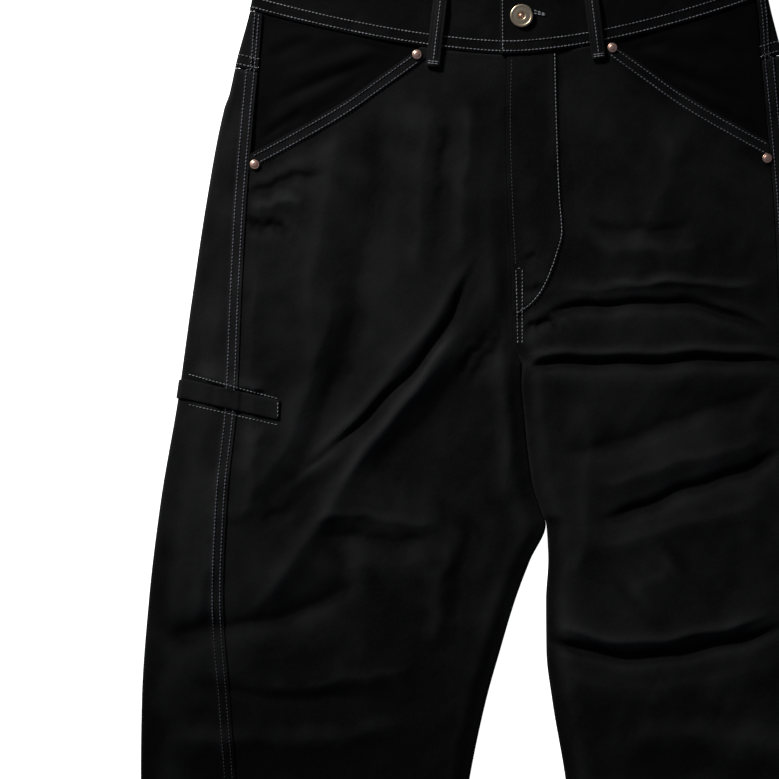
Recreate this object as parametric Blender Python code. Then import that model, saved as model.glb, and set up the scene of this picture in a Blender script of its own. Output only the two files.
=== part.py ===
"""Tapered work trousers lying flat on their back, ready to fold.

Worked out in millimetres and turned to metres at the end.  x runs to the wearer's left,
y towards the waist, z up from the floor.  "down" is the distance below the waist seam at
the centre front; "drop" numbers the rows of the cloth from the waist seam to the hem, which
curve up at the sides near the waist and run straight across below the crotch.
"across" is the distance outwards from the centre of the garment, on either side.
"""
import bmesh
import bpy
import numpy as np

WALL = 1.3            # thickness of one panel
SEAM = 0.2            # half of the gap kept between two pieces at a seam
CLEAR = 0.35          # gap between a piece and what is sewn on top of it
TURN = 2.6            # outside radius of the folded side edges
HEM = 956.0           # drop of the hem
CROTCH = 232.0        # drop of the point where the legs part
FADE = 250.0          # drop at which the rows run straight
BACK_RISE = 62.8      # height of the centre back above the centre front
HIP_LIFT = 1.6        # the seat rests on its pockets and loops
BAND_HEIGHT = 55.0
BAND_WALL = 2.0
BAND_BASE = 1.7       # height of the back of the waistband above the floor
BAND_TURN = 3.0
BAND_LEAN = 0.2       # the sides of the waistband lean inwards
STEP_UP = 2.3         # the left end of the waistband rides over the right end
POCKET_LAP = 12.0     # the pocket facing runs this far under the slanted edge
LOOP_WIDTH = 11.4
LOOP_WALL = 1.5

# The outline of each leg and the side seam, as distances from the centre.
OUTLINE = np.array([
    # down, right leg, left leg, side seam of the right leg
    (-46.0, 206.0, 206.0, 196.6),
    (-34.8, 208.0, 208.5, 197.6),
    (4.0, 218.4, 218.4, 200.8),
    (33.0, 224.8, 224.8, 203.6),
    (42.0, 228.2, 228.2, 204.5),
    (116.0, 242.4, 242.4, 210.4),
    (196.0, 254.4, 254.4, 214.4),
    (276.0, 265.6, 265.6, 217.6),
    (356.0, 279.2, 279.2, 225.6),
    (436.0, 288.8, 288.8, 228.8),
    (516.0, 294.4, 294.4, 223.4),
    (572.0, 295.2, 295.2, 219.2),
    (636.0, 293.6, 294.4, 215.6),
    (716.0, 287.2, 290.0, 211.2),
    (796.0, 277.6, 284.0, 207.6),
    (876.0, 266.4, 275.5, 202.4),
    (956.0, 255.2, 266.4, 197.2),
])

# The middle seams above the crotch: the fly edge in front and the seat seam behind.
CENTRE = np.array([
    # drop, front x, back x
    (0.0, -2.4, 0.0),
    (52.0, -3.7, 0.6),
    (135.0, -1.1, 1.4),
    (172.0, 0.8, 1.8),
    (232.0, 2.4, 2.4),
])

# The inner edges of the legs.  They touch down to 375 and part from there.
LEGS = np.array([
    # drop, right leg x, left leg x
    (232.0, 2.2, 2.6),
    (249.0, 9.6, 10.0),
    (262.0, 9.2, 9.6),
    (284.0, 11.0, 11.4),
    (340.0, 17.4, 17.8),
    (367.0, 25.8, 26.2),
    (375.0, 28.6, 29.0),
    (404.0, 16.0, 30.4),
    (436.0, 4.0, 28.6),
    (476.0, -8.0, 28.9),
    (516.0, -19.2, 33.6),
    (572.0, -31.2, 43.2),
    (636.0, -41.6, 52.0),
    (716.0, -51.2, 61.6),
    (796.0, -58.4, 68.8),
    (876.0, -63.2, 73.6),
    (956.0, -66.4, 77.6),
])

# The slanted pocket edge of the right front.
POCKET = np.array([
    # across, down
    (50.0, -21.5),
    (70.0, -7.2),
    (100.0, 14.3),
    (132.4, 37.1),
    (169.1, 58.6),
    (203.0, 77.0),
    (216.0, 84.0),
    (240.0, 97.0),
])

# The curved stitching that holds the fly, on the left front.
FLY = np.array([
    # down, x
    (-10.0, 35.2),
    (52.0, 36.7),
    (113.0, 39.0),
    (141.0, 41.0),
    (160.0, 36.5),
    (187.0, 25.6),
    (200.0, 15.2),
    (208.0, 2.4),
    (214.0, -12.0),
])

# Main folds of the top layer, each a soft ridge or trough along a bowed line.
FOLDS = {
    "right": [
        # from x, from down, to x, to down, bow, half width, height
        (-50.0, 172.0, -182.0, 345.0, 6.0, 15.0, 5.5),
        (-32.0, 190.0, -190.0, 352.0, 9.0, 7.0, -4.5),
        (-34.0, 226.0, -158.0, 366.0, 5.0, 13.0, 5.0),
        (0.0, 236.0, -204.0, 460.0, 8.0, 17.0, -4.0),
        (-100.0, 60.0, -190.0, 340.0, -14.0, 22.0, -3.0),
        (-135.0, 80.0, -150.0, 190.0, 0.0, 20.0, 2.4),
        (-62.0, 60.0, -60.0, 170.0, 4.0, 20.0, 1.8),
        (-168.0, 380.0, -232.0, 440.0, -4.0, 16.0, 5.0),
        (-270.0, 466.0, -130.0, 430.0, -10.0, 14.0, -3.5),
        (-155.0, 370.0, -56.0, 379.0, 4.0, 11.0, -3.0),
        (-130.0, 402.0, -60.0, 415.0, 0.0, 18.0, 3.0),
        (-34.0, 380.0, -38.0, 474.0, 0.0, 11.0, -2.5),
        (-240.0, 560.0, -90.0, 530.0, 8.0, 24.0, 3.0),
        (-250.0, 620.0, -70.0, 640.0, -8.0, 20.0, -2.5),
        (-250.0, 760.0, -90.0, 720.0, 10.0, 26.0, 3.2),
        (-230.0, 840.0, -80.0, 850.0, -6.0, 20.0, -2.4),
    ],
    "left": [
        # from x, from down, to x, to down, bow, half width, height
        (48.0, 184.0, 190.0, 186.0, -5.0, 8.0, 4.0),
        (26.0, 204.0, 200.0, 204.0, -9.0, 8.0, -4.0),
        (20.0, 230.0, 200.0, 224.0, 0.0, 10.0, 4.0),
        (10.0, 249.0, 210.0, 246.0, 2.0, 6.5, -5.0),
        (16.0, 266.0, 210.0, 262.0, 2.0, 13.0, 4.0),
        (80.0, 345.0, 220.0, 300.0, 4.0, 15.0, 4.0),
        (74.0, 367.0, 220.0, 322.0, 6.0, 11.0, -4.0),
        (34.0, 450.0, 200.0, 440.0, 16.0, 14.0, 4.0),
        (30.0, 470.0, 200.0, 462.0, 16.0, 9.0, -4.0),
        (100.0, 70.0, 130.0, 160.0, 6.0, 22.0, 2.0),
        (90.0, 560.0, 250.0, 540.0, -8.0, 24.0, 3.0),
        (80.0, 640.0, 260.0, 610.0, 8.0, 20.0, -2.6),
        (90.0, 730.0, 250.0, 760.0, -10.0, 26.0, 3.2),
        (90.0, 850.0, 240.0, 840.0, 6.0, 20.0, -2.4),
    ],
}

# What differs between the two sides.  The left side of the waist lies a little higher.
SIDES = {
    # sign of x, column of OUTLINE, rise of the waist seam, pocket edge moved out and up
    "right": dict(sign=-1.0, column=1, rise=34.8, out=0.0, up=0.0),
    "left": dict(sign=1.0, column=2, rise=46.0, out=6.0, up=6.0),
}


def smooth(t):
    """Ease from 0 to 1 while t goes from 0 to 1."""
    t = np.clip(t, 0.0, 1.0)
    return t * t * (3.0 - 2.0 * t)


def along(table, column, at):
    """Read a smooth curve through one column of a table, first column = place."""
    place = table[:, 0]
    value = table[:, column]
    step = np.diff(place)
    rise = np.diff(value) / step
    same = rise[:-1] * rise[1:] > 0.0
    total = np.where(same, rise[:-1] + rise[1:], 1.0)
    middle = np.where(same, 2.0 * rise[:-1] * rise[1:] / total, 0.0)
    slope = np.concatenate([rise[:1], middle, rise[-1:]])
    i = np.clip(np.searchsorted(place, at) - 1, 0, len(step) - 1)
    t = np.clip((at - place[i]) / step[i], 0.0, 1.0)
    low = (1.0 + 2.0 * t) * value[i] + t * step[i] * slope[i]
    high = (3.0 - 2.0 * t) * value[i + 1] - (1.0 - t) * step[i] * slope[i + 1]
    return (1.0 - t) ** 2 * low + t * t * high


def fade(drop):
    """Share of the waist's curve that is left in a row."""
    return smooth(1.0 - drop / FADE)


def height(side, share, drop, back):
    """y of a row at a share (0 centre, 1 side edge) of its half width."""
    rise = SIDES[side]["rise"]
    share = np.clip(share, 0.0, 1.0)
    front_curve = rise * share ** 1.6
    back_curve = rise + (BACK_RISE - rise) * (1.0 - share ** 2)
    return -drop + fade(drop) * np.where(back, back_curve, front_curve)


def turn(drop):
    """How far the inner edges are folded down: 0 above the crotch, 1 on the legs."""
    return np.maximum(smooth((drop - CROTCH) / 30.0), 0.02)


def row(side, drop, back):
    """Across-distances where a row's flat part starts and ends."""
    sign = SIDES[side]["sign"]
    centre = sign * along(CENTRE, 2 if back else 1, drop) + SEAM
    leg = sign * along(LEGS, SIDES[side]["column"], drop)
    edge = np.where(drop < CROTCH, centre, leg)
    bend = turn(drop)
    start = edge + TURN / bend * np.sin(bend * np.radians(83.5))
    side_down = drop - SIDES[side]["rise"] * fade(drop)
    end = along(OUTLINE, SIDES[side]["column"], side_down) - TURN
    return start, end


def seam_line(side, drop):
    """Across-distance of the side seam in a row."""
    side_down = drop - SIDES[side]["rise"] * fade(drop)
    wider = along(OUTLINE, SIDES[side]["column"], side_down) - along(OUTLINE, 1, side_down)
    return along(OUTLINE, 3, side_down) + wider


def below_pocket(side, across, down):
    """Distance of a point below the slanted pocket edge, negative above it."""
    pocket = along(POCKET, 1, across - SIDES[side]["out"]) - SIDES[side]["up"]
    return 0.86 * (down - pocket)


def pocket_line(side, drop):
    """Across-distance where a row meets the pocket edge, or the side seam below it."""
    low = np.full_like(drop, 55.0)
    high = seam_line(side, drop)
    end = row(side, drop, False)[1]
    for _ in range(40):
        middle = 0.5 * (low + high)
        under = below_pocket(side, middle, -height(side, middle / end, drop, False)) > 0.0
        low = np.where(under, middle, low)
        high = np.where(under, high, middle)
    return low


def pocket_corner(side):
    """Drop of the row where the pocket edge meets the side seam."""
    low, high = 40.0, 180.0
    for _ in range(40):
        middle = 0.5 * (low + high)
        at = np.array([middle])
        seam = seam_line(side, at)
        down = -height(side, seam / row(side, at, False)[1], at, False)
        if below_pocket(side, seam, down)[0] > 0.0:
            high = middle
        else:
            low = middle
    return high


def folds(side, across, down):
    """Height of the folds over the flat cloth: bell-shaped bands along bowed lines."""
    x = SIDES[side]["sign"] * across
    total = np.zeros_like(x)
    for x1, down1, x2, down2, bow, width, rise in FOLDS[side]:
        length = np.hypot(x2 - x1, down2 - down1)
        run_x, run_down = (x2 - x1) / length, (down2 - down1) / length
        t = ((x - x1) * run_x + (down - down1) * run_down) / length
        off = (down - down1) * run_x - (x - x1) * run_down
        off = off - 4.0 * bow * t * (1.0 - t)
        ends = smooth((t + 0.08) / 0.2) * smooth((1.08 - t) / 0.2)
        total = total + rise * ends * np.exp(-(off / width) ** 2)
    return total


def relief(side, across, drop):
    """Height of the top layer over its flat base, from 0 at the edges."""
    start, end = row(side, drop, False)
    down = -height(side, across / end, drop, False)
    inward = smooth((across - start) / 22.0)
    outward = smooth((end - across) / 26.0)
    open_part = smooth((HEM - 30.0 - drop) / 60.0) * smooth((drop - 20.0) / 40.0)
    pocket = smooth((below_pocket(side, across, down) - POCKET_LAP - 1.0) / 18.0)
    if side == "right":
        near_welt = smooth((np.abs(down - 276.0) - 26.0) / 20.0)
        clear = np.maximum(near_welt, smooth((172.0 - across) / 20.0))
    else:
        clear = 1.0
    air = 2.4 * smooth((drop - 60.0) / 200.0)
    total = (air + folds(side, across, down)) * inward * outward * open_part * pocket * clear
    return np.maximum(total, -1.9)


def surface(side, ring, drop, depth=0.0, raised=0.0):
    """Points of a leg, in millimetres.

    ring counts round the leg: -0.5 inseam, 0 to 1 top layer from inside to outside,
    1 to 2 folded side edge, 2 to 3 bottom layer back inwards, 3.5 inseam again.
    depth goes into the cloth from its outside; raised thickens the top layer upwards.
    """
    ring, drop = np.broadcast_arrays(ring, drop)
    back = ring > 1.5
    start_front, end = row(side, drop, False)
    start_back = row(side, drop, True)[0]
    start = np.where(back, start_back, start_front)
    lift = HIP_LIFT * smooth((275.0 - drop) / 40.0)
    bend = turn(drop)

    inner = np.clip(np.where(back, ring - 3.0, -ring) / 0.5, 0.0, 1.0)
    inner = inner * bend * np.radians(83.5)
    inner_radius = TURN / bend - depth
    outer = np.pi * np.clip(ring - 1.0, 0.0, 1.0)

    span = np.clip(np.where(back, 3.0 - ring, ring), 0.0, 1.0)
    across = start + span * (end - start)
    top = lift + 2.0 * TURN - depth + relief(side, across, drop)
    bottom = lift + depth

    on_inner = (ring < 0.0) | (ring > 3.0)
    on_outer = (ring > 1.0) & (ring < 2.0)
    z = np.where(back, bottom, top + raised)
    curved = TURN / bend - inner_radius * np.cos(inner)
    z_inner = np.where(back, lift + curved, lift + 2.0 * TURN - curved + raised)
    z = np.where(on_inner, z_inner, z)
    z = np.where(on_outer, lift + TURN + (TURN - depth) * np.cos(outer), z)
    across = np.where(on_inner, start - inner_radius * np.sin(inner), across)
    across = np.where(on_outer, end + (TURN - depth) * np.sin(outer), across)

    y = height(side, across / end, drop, back)
    return np.stack([SIDES[side]["sign"] * across, y, z], axis=-1)


def ring_at(side, across, drop):
    """Ring number of a point of the top layer."""
    start, end = row(side, drop, False)
    return (across - start) / (end - start)


def build(name, outside, inside, colour, roughness=0.85, metallic=0.0):
    """Close two matching grids of points into one solid and name it."""
    rows, columns = outside.shape[:2]
    points = np.concatenate([outside.reshape(-1, 3), inside.reshape(-1, 3)])
    shift = rows * columns
    faces = []
    for r in range(rows - 1):
        for c in range(columns - 1):
            a, b = r * columns + c, r * columns + c + 1
            d, e = a + columns, b + columns
            faces += [(a, b, e), (a, e, d), (shift + a, shift + e, shift + b),
                      (shift + a, shift + d, shift + e)]
    border = [c for c in range(columns)]
    border += [r * columns + columns - 1 for r in range(1, rows)]
    border += [(rows - 1) * columns + c for c in range(columns - 2, -1, -1)]
    border += [r * columns for r in range(rows - 2, 0, -1)]
    for a, b in zip(border, border[1:] + border[:1]):
        faces += [(a, a + shift, b + shift), (a, b + shift, b)]
    finish(name, points, faces, colour, roughness, metallic)


def lathe(name, centre, profile, colour, roughness, metallic, sides):
    """Turn a profile of (radius, height) rows about an upright axis."""
    angles = np.arange(sides) * 2.0 * np.pi / sides
    points = [(centre[0] + radius * np.cos(angle), centre[1] + radius * np.sin(angle),
               centre[2] + up) for radius, up in profile for angle in angles]
    faces = []
    for k in range(len(profile) - 1):
        for i in range(sides):
            j = (i + 1) % sides
            a, b = k * sides + i, k * sides + j
            faces += [(a, b, b + sides), (a, b + sides, a + sides)]
    last = (len(profile) - 1) * sides
    faces.append(tuple(range(sides - 1, -1, -1)))
    faces.append(tuple(last + i for i in range(sides)))
    finish(name, np.array(points), faces, colour, roughness, metallic)


def finish(name, points, faces, colour, roughness, metallic):
    """Make the named object with outward faces and a material of its own."""
    points = (points - ORIGIN) / 1000.0
    mesh = bpy.data.meshes.new(name)
    mesh.from_pydata(points.tolist(), [], faces)
    shape = bmesh.new()
    shape.from_mesh(mesh)
    bmesh.ops.triangulate(shape, faces=[f for f in shape.faces if len(f.verts) > 3])
    bmesh.ops.recalc_face_normals(shape, faces=shape.faces)
    shape.to_mesh(mesh)
    shape.free()
    material = bpy.data.materials.new(name + "_material")
    material.use_nodes = True
    shader = material.node_tree.nodes["Principled BSDF"]
    shader.inputs["Base Color"].default_value = (*colour, 1.0)
    shader.inputs["Roughness"].default_value = roughness
    shader.inputs["Metallic"].default_value = metallic
    mesh.materials.append(material)
    bpy.context.scene.collection.objects.link(bpy.data.objects.new(name, mesh))


TWILL = (0.016, 0.016, 0.018)
FACING = (0.012, 0.012, 0.013)
BRASS = (0.72, 0.60, 0.42)
COPPER = (0.62, 0.42, 0.33)

# Origin of the part: under the middle of its box.
TOP_Y = BACK_RISE + BAND_HEIGHT
ORIGIN = np.array([0.0, 0.5 * (TOP_Y - HEM), 0.0])

for old in list(bpy.data.objects):
    bpy.data.objects.remove(old)


# Front panels: from the inseam or fly edge to the side seam, cut away at the pocket.
def front(side):
    corner = pocket_corner(side)
    drops = np.concatenate([
        np.linspace(2.0 * SEAM, corner, 9),
        np.linspace(corner, CROTCH, 9)[1:],
        [240.0, 249.0, 262.0, 278.0, 294.0, 310.0, 325.0, 340.0, 355.0, 367.0, 375.0],
        [388.0, 404.0, 420.0, 436.0, 452.0, 470.0, 490.0, 516.0, 545.0],
        np.linspace(580.0, HEM - 24.0, 8),
        [HEM - 20.0, HEM],
    ])[:, None]
    start = row(side, drops, False)[0]
    stop = pocket_line(side, drops) - SEAM
    shares = np.linspace(0.0, 1.0, 13)[None, :]
    across = start + shares * (stop - 10.5 - start)
    across = np.concatenate([across, stop - 9.5, stop], axis=1)
    ring = ring_at(side, across, drops)
    turned = np.broadcast_to([[-0.5, -0.33, -0.16]], (len(drops), 3))
    ring = np.concatenate([turned, ring], axis=1)
    across = np.concatenate([np.repeat(start, 3, axis=1), across], axis=1)
    down = -height(side, across / row(side, drops, False)[1], drops, False)
    raised = 0.8 * smooth((12.0 - below_pocket(side, across, down)) / 3.0)
    raised = raised * smooth((corner + 24.0 - drops) / 10.0)
    raised = np.maximum(raised, 0.6 * smooth((drops - HEM + 23.0) / 2.0))
    if side == "left":
        lap = smooth((along(FLY, 1, down) - across + 5.0) / 9.0)
        raised = np.maximum(raised, 1.2 * lap * smooth((214.0 - drops) / 12.0))
    build("front_" + side, surface(side, ring, drops, 0.0, raised),
          surface(side, ring, drops, WALL), TWILL)


# Back panels: from the side seam round the folded side edge to the seat seam or inseam.
# The yoke seam dips towards the centre back.
YOKE_SIDE = 43.0
YOKE_DIP = 17.0
SEAT_ROWS = np.array([74.0, 84.0, 100.0, 125.0, 150.0, 175.0, 200.0, 218.0])


def back_columns(side, drops):
    seam = ring_at(side, seam_line(side, drops) + SEAM, drops)
    band = ring_at(side, seam_line(side, drops) + 10.0, drops)
    edge = ring_at(side, seam_line(side, drops) + 13.0, drops)
    fixed = [[1.0, 1.2, 1.4, 1.6, 1.8, 2.0, 2.07, 2.3, 2.5, 2.7, 2.93, 3.0,
              3.17, 3.34, 3.5]]
    fixed = np.broadcast_to(fixed, (len(drops), len(fixed[0])))
    middle = 0.5 * (edge + 1.0)
    ring = np.concatenate([seam, band, edge, middle, fixed], axis=1)
    raised = np.zeros_like(ring)
    raised[:, :2] = 0.9
    return ring, raised


def yoke_dip(ring):
    """How far the yoke seam dips below its place at the side."""
    share = np.clip(3.0 - ring, 0.0, 1.0)
    return YOKE_DIP * (1.0 - share ** 2)


def back(side):
    drops = np.concatenate([
        [YOKE_SIDE + SEAM, 58.0],
        SEAT_ROWS,
        [CROTCH, 240.0, 249.0, 262.0, 278.0, 294.0, 310.0, 325.0, 340.0, 355.0, 367.0, 375.0],
        [388.0, 404.0, 420.0, 436.0, 470.0, 490.0, 516.0, 545.0],
        np.linspace(580.0, HEM - 24.0, 8),
        [HEM - 20.0, HEM],
    ])[:, None]
    ring, raised = back_columns(side, drops)
    drops = drops + yoke_dip(ring) * np.clip(1.0 - (drops - YOKE_SIDE) / 150.0, 0.0, 1.0)
    raised = np.maximum(raised, np.where(ring < 1.0, 0.6 * smooth((drops - HEM + 23.0) / 2.0), 0.0))
    build("back_" + side, surface(side, ring, drops, 0.0, raised),
          surface(side, ring, drops, WALL), TWILL)


def yoke(side):
    shares = np.linspace(0.0, 1.0, 5)[:, None]
    ring, raised = back_columns(side, np.full_like(shares, 20.0))
    seam = seam_line(side, np.linspace(2.0 * SEAM, YOKE_SIDE - SEAM, 5)[:, None])
    drops = 2.0 * SEAM + shares * (YOKE_SIDE - 3.0 * SEAM + yoke_dip(ring))
    flat = drops[:, :1]
    ring[:, :1] = ring_at(side, seam + SEAM, flat)
    ring[:, 1:2] = ring_at(side, seam + 7.0, flat)
    ring[:, 2:3] = 0.5 * (ring[:, 1:2] + 1.0)
    ring = np.delete(ring, 3, axis=1)
    raised = np.delete(raised, 3, axis=1)
    drops = np.delete(drops, 3, axis=1)
    build("yoke_" + side, surface(side, ring, drops, 0.0, raised),
          surface(side, ring, drops, WALL), TWILL)


# Pocket facing: lies behind the slanted edge and is sewn into the side seam.
def facing(side):
    corner = pocket_corner(side)
    drops = np.concatenate([np.linspace(2.0 * SEAM, corner, 7), [corner + 8.0]])[:, None]
    line = pocket_line(side, drops)
    seam = seam_line(side, drops) - SEAM
    shares = np.array([[0.0, 0.2, 0.4, 0.6, 0.8, 1.0]])
    first = np.minimum(line, seam - 6.0)
    across = np.concatenate([first - POCKET_LAP, first + shares * (seam - first)], axis=1)
    ring = ring_at(side, across, drops)
    sunk = 1.7 - 1.1 * smooth((across - line) / 60.0)
    outside = surface(side, ring, drops)
    inside = surface(side, ring, drops)
    outside[..., 2] -= sunk
    inside[..., 2] -= sunk + 1.2
    build("pocket_facing_" + side, outside, inside, FACING)


# Waistband: one half on each side, from the centre back round the side to the front.
def band_point(side, path, v, depth):
    """Points of the waistband; path counts 0 to 1 behind, 1 to 2 round the side and on
    from 2 across the front in shares of its half width, v from the seam (0) to the top (1)."""
    path, v = np.broadcast_arrays(path, v)
    end = row(side, np.zeros(1), False)[1][0] - 0.2
    back = path < 1.5
    across = np.where(back, SEAM + path * (end - SEAM), end * (3.0 - path))
    angle = np.pi * np.clip(path - 1.0, 0.0, 1.0)
    turned = (path > 1.0) & (path < 2.0)
    radius = BAND_TURN - depth
    across = np.where(turned, end + radius * np.sin(angle), across)
    over = STEP_UP * smooth((58.0 - across) / 28.0) if side == "left" else 0.0
    top = BAND_BASE + 2.0 * BAND_TURN - depth + over
    z = np.where(back, BAND_BASE + depth, top)
    z = np.where(turned, BAND_BASE + BAND_TURN - radius * np.cos(angle), z)
    share = np.clip(np.abs(across) / end, 0.0, 1.0)
    lean = BAND_LEAN * share
    size = BAND_HEIGHT * v / np.hypot(1.0, lean)
    beyond = height("left" if side == "right" else "right", share, np.zeros(1), False)
    y = np.where(across < 0.0, beyond, height(side, share, np.zeros(1), back)) + size + 0.1
    across = across - size * lean
    return np.stack([SIDES[side]["sign"] * across, y, z], axis=-1)


def waistband(side):
    end = row(side, np.zeros(1), False)[1][0] - 0.2
    front_end = -26.0 if side == "right" else -8.0
    front_places = [185.0, 160.0, 135.0, 110.0, 85.0, 58.0]
    if side == "left":
        front_places += [51.0, 44.0, 37.0, 30.0, 10.0]
    else:
        front_places += [30.0, 5.0]
    places = np.array(front_places + [front_end])
    path = np.concatenate([np.linspace(0.0, 1.0, 9), 1.0 + np.arange(1, 6) / 6.0, [2.0],
                           3.0 - places / end])[None, :]
    v = np.array([0.0, 0.35, 0.7, 1.0])[:, None]
    build("waistband_" + side, band_point(side, path, v, 0.0),
          band_point(side, path, v, BAND_WALL), TWILL)


# Tool pocket welt: a strip laid on the right leg across the side seam.
def welt():
    places = np.array([183.8, 195.0, 206.0, 213.0, 216.5, 229.0, 233.0, 246.0, 258.0])
    drop_top = 276.5 + (places - 183.8) * (258.6 - 276.5) / 78.6
    ring = ring_at("right", places, drop_top)
    ring = np.concatenate([ring, [1.0, 1.2, 1.4, 1.6, 1.7]])
    drop_top = np.concatenate([drop_top, np.full(5, 257.6)])
    v = np.array([0.0, 0.5, 1.0])[:, None]
    drops = drop_top[None, :] + 15.2 * v
    seam = ring_at("right", seam_line("right", drops), drops)
    over = 1.15 * smooth((ring - seam) / 0.012 + 1.0) * smooth((seam + 0.075 - ring) / 0.02)
    ring = np.broadcast_to(ring, drops.shape)
    build("tool_pocket_welt", surface("right", ring, drops, -CLEAR - 1.2 - over),
          surface("right", ring, drops, -CLEAR - over), TWILL)


# Back pockets: patches under the seat, reaching up round the side edge.
def back_pocket(side):
    ring = np.array([1.8, 2.0, 2.07, 2.2, 2.34, 2.48, 2.6, 2.68])[None, :]
    drops = SEAT_ROWS[:-1, None]
    tip = 12.0 * (1.0 - np.abs(np.clip(ring - 2.0, 0.0, 0.68) - 0.34) / 0.34)
    drops = drops + tip * (drops - drops[0]) / (drops[-1] - drops[0])
    build("back_pocket_" + side, surface(side, ring, drops, -CLEAR - 1.15),
          surface(side, ring, drops, -CLEAR), TWILL)


# Belt loops: folded strips sewn down below the waist seam and at the band's top edge.
def belt_loop(name, low, high, flat):
    low, high = np.array(low), np.array(high)
    run = (high - low) / np.hypot(*(high - low))
    side_way = np.array([run[1], -run[0]]) * LOOP_WIDTH / 2.0
    shares = np.array([0.0, 0.1, 0.2, 0.32, 0.5, 0.68, 0.85, 1.0])
    if flat:
        shares = shares[[0, 3, 5, 7]]
    middle = low + shares[:, None] * (high - low)
    if flat:
        base = np.full(len(shares), 1.3)
        grow = -1.25
    else:
        base = np.full(len(shares), 8.05)
        base = base + 1.6 * np.sin(np.pi * np.clip((shares - 0.1) / 0.9, 0.0, 1.0)) ** 1.5
        grow = LOOP_WALL
    edges = np.array([-1.0, -0.4, 0.4, 1.0])
    ridge = np.array([0.0, 0.3, 0.3, 0.0]) * (0.0 if flat else 1.0)
    xy = middle[:, None, :] + edges[None, :, None] * side_way
    lower = np.concatenate([xy, np.broadcast_to(base[:, None, None], xy.shape[:2] + (1,))], axis=2)
    upper = lower.copy()
    upper[..., 2] += grow + ridge
    build(name, upper, lower, TWILL)


def rivet(name, x, down, base):
    profile = [(3.0, 0.0), (3.85, 0.35), (3.6, 0.95), (2.6, 1.25), (1.2, 1.35)]
    lathe(name, (x, -down, base), profile, COPPER, 0.35, 1.0, 16)


for side in SIDES:
    front(side)
    back(side)
    yoke(side)
    facing(side)
    waistband(side)
    back_pocket(side)
welt()

BAND_TOP = BAND_HEIGHT - 0.5
belt_loop("belt_loop_front_right", (-62.0, -10.0), (-54.0, BAND_TOP + 4.0), False)
belt_loop("belt_loop_front_left", (71.0, -4.0), (62.5, BAND_TOP + 7.0), False)
belt_loop("belt_loop_back_right", (-120.0, BACK_RISE - 24.0), (-116.0, BACK_RISE + 44.0), True)
belt_loop("belt_loop_back_left", (120.0, BACK_RISE - 21.0), (116.0, BACK_RISE + 47.0), True)
belt_loop("belt_loop_back_centre", (0.0, BACK_RISE - 13.0), (0.0, BACK_RISE + 54.5), True)

PANEL_TOP = HIP_LIFT + 2.0 * TURN + 0.8 + CLEAR
rivet("rivet_right_upper", -74.5, 0.2, PANEL_TOP)
rivet("rivet_right_lower", -204.0, 88.0, PANEL_TOP)
rivet("rivet_left_upper", 81.5, -5.2, PANEL_TOP)
rivet("rivet_left_lower", 205.0, 83.0, PANEL_TOP)

# Tack button: a raised ring round a hollow middle, blank.
BUTTON = [(6.5, 0.0), (8.6, 0.5), (9.2, 1.3), (8.9, 2.0), (7.8, 2.5), (6.0, 2.7),
          (3.4, 2.5), (2.6, 1.9), (1.9, 1.1)]
button_base = BAND_BASE + 2.0 * BAND_TURN + STEP_UP + CLEAR
lathe("button", (8.8, 30.4, button_base), BUTTON, BRASS, 0.3, 1.0, 28)
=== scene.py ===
import bpy
import numpy as np
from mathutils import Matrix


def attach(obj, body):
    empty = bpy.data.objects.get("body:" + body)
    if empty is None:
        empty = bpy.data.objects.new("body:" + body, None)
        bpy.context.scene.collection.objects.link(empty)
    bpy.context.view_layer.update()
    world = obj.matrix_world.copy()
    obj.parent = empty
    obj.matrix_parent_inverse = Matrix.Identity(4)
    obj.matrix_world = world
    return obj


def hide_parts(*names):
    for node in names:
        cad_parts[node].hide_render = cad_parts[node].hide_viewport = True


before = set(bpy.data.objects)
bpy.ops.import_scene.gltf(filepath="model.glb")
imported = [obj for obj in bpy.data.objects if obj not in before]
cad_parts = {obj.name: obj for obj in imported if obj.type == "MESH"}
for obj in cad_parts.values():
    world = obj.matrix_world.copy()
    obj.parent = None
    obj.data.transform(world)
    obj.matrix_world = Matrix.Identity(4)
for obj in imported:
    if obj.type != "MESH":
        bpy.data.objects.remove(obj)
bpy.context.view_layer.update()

# Tapered work trousers in heavy black twill, laid flat on their back.
# Lengths are in millimetres until a mesh is made.  x runs to the wearer's left, z up, and
# "down" is the distance below the waist seam at the centre front.  "drop" numbers the rows
# of the cloth from the waist seam (0) to the hem; "across" is the distance outwards from
# the middle of the garment, on either side.


# Front panels
# Each front is one piece of 14-ounce cotton twill, cut away at the slanted pocket, with
# its edges turned and felled.  The folds are those the trousers keep after being worn:
# soft ridges with one steep side that run from the crotch and round the knee.

WALL = 1.3
SEAM = 0.2
CLEAR = 0.35
TURN = 2.6
HEM = 956.0
HEM_TURN = 21.6
CROTCH = 232.0
BACK_RISE = 62.8
HIP_LIFT = 1.6
BAND_HEIGHT = 55.0
MIDDLE_Y = 0.5 * (BACK_RISE + BAND_HEIGHT - HEM)

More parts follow.
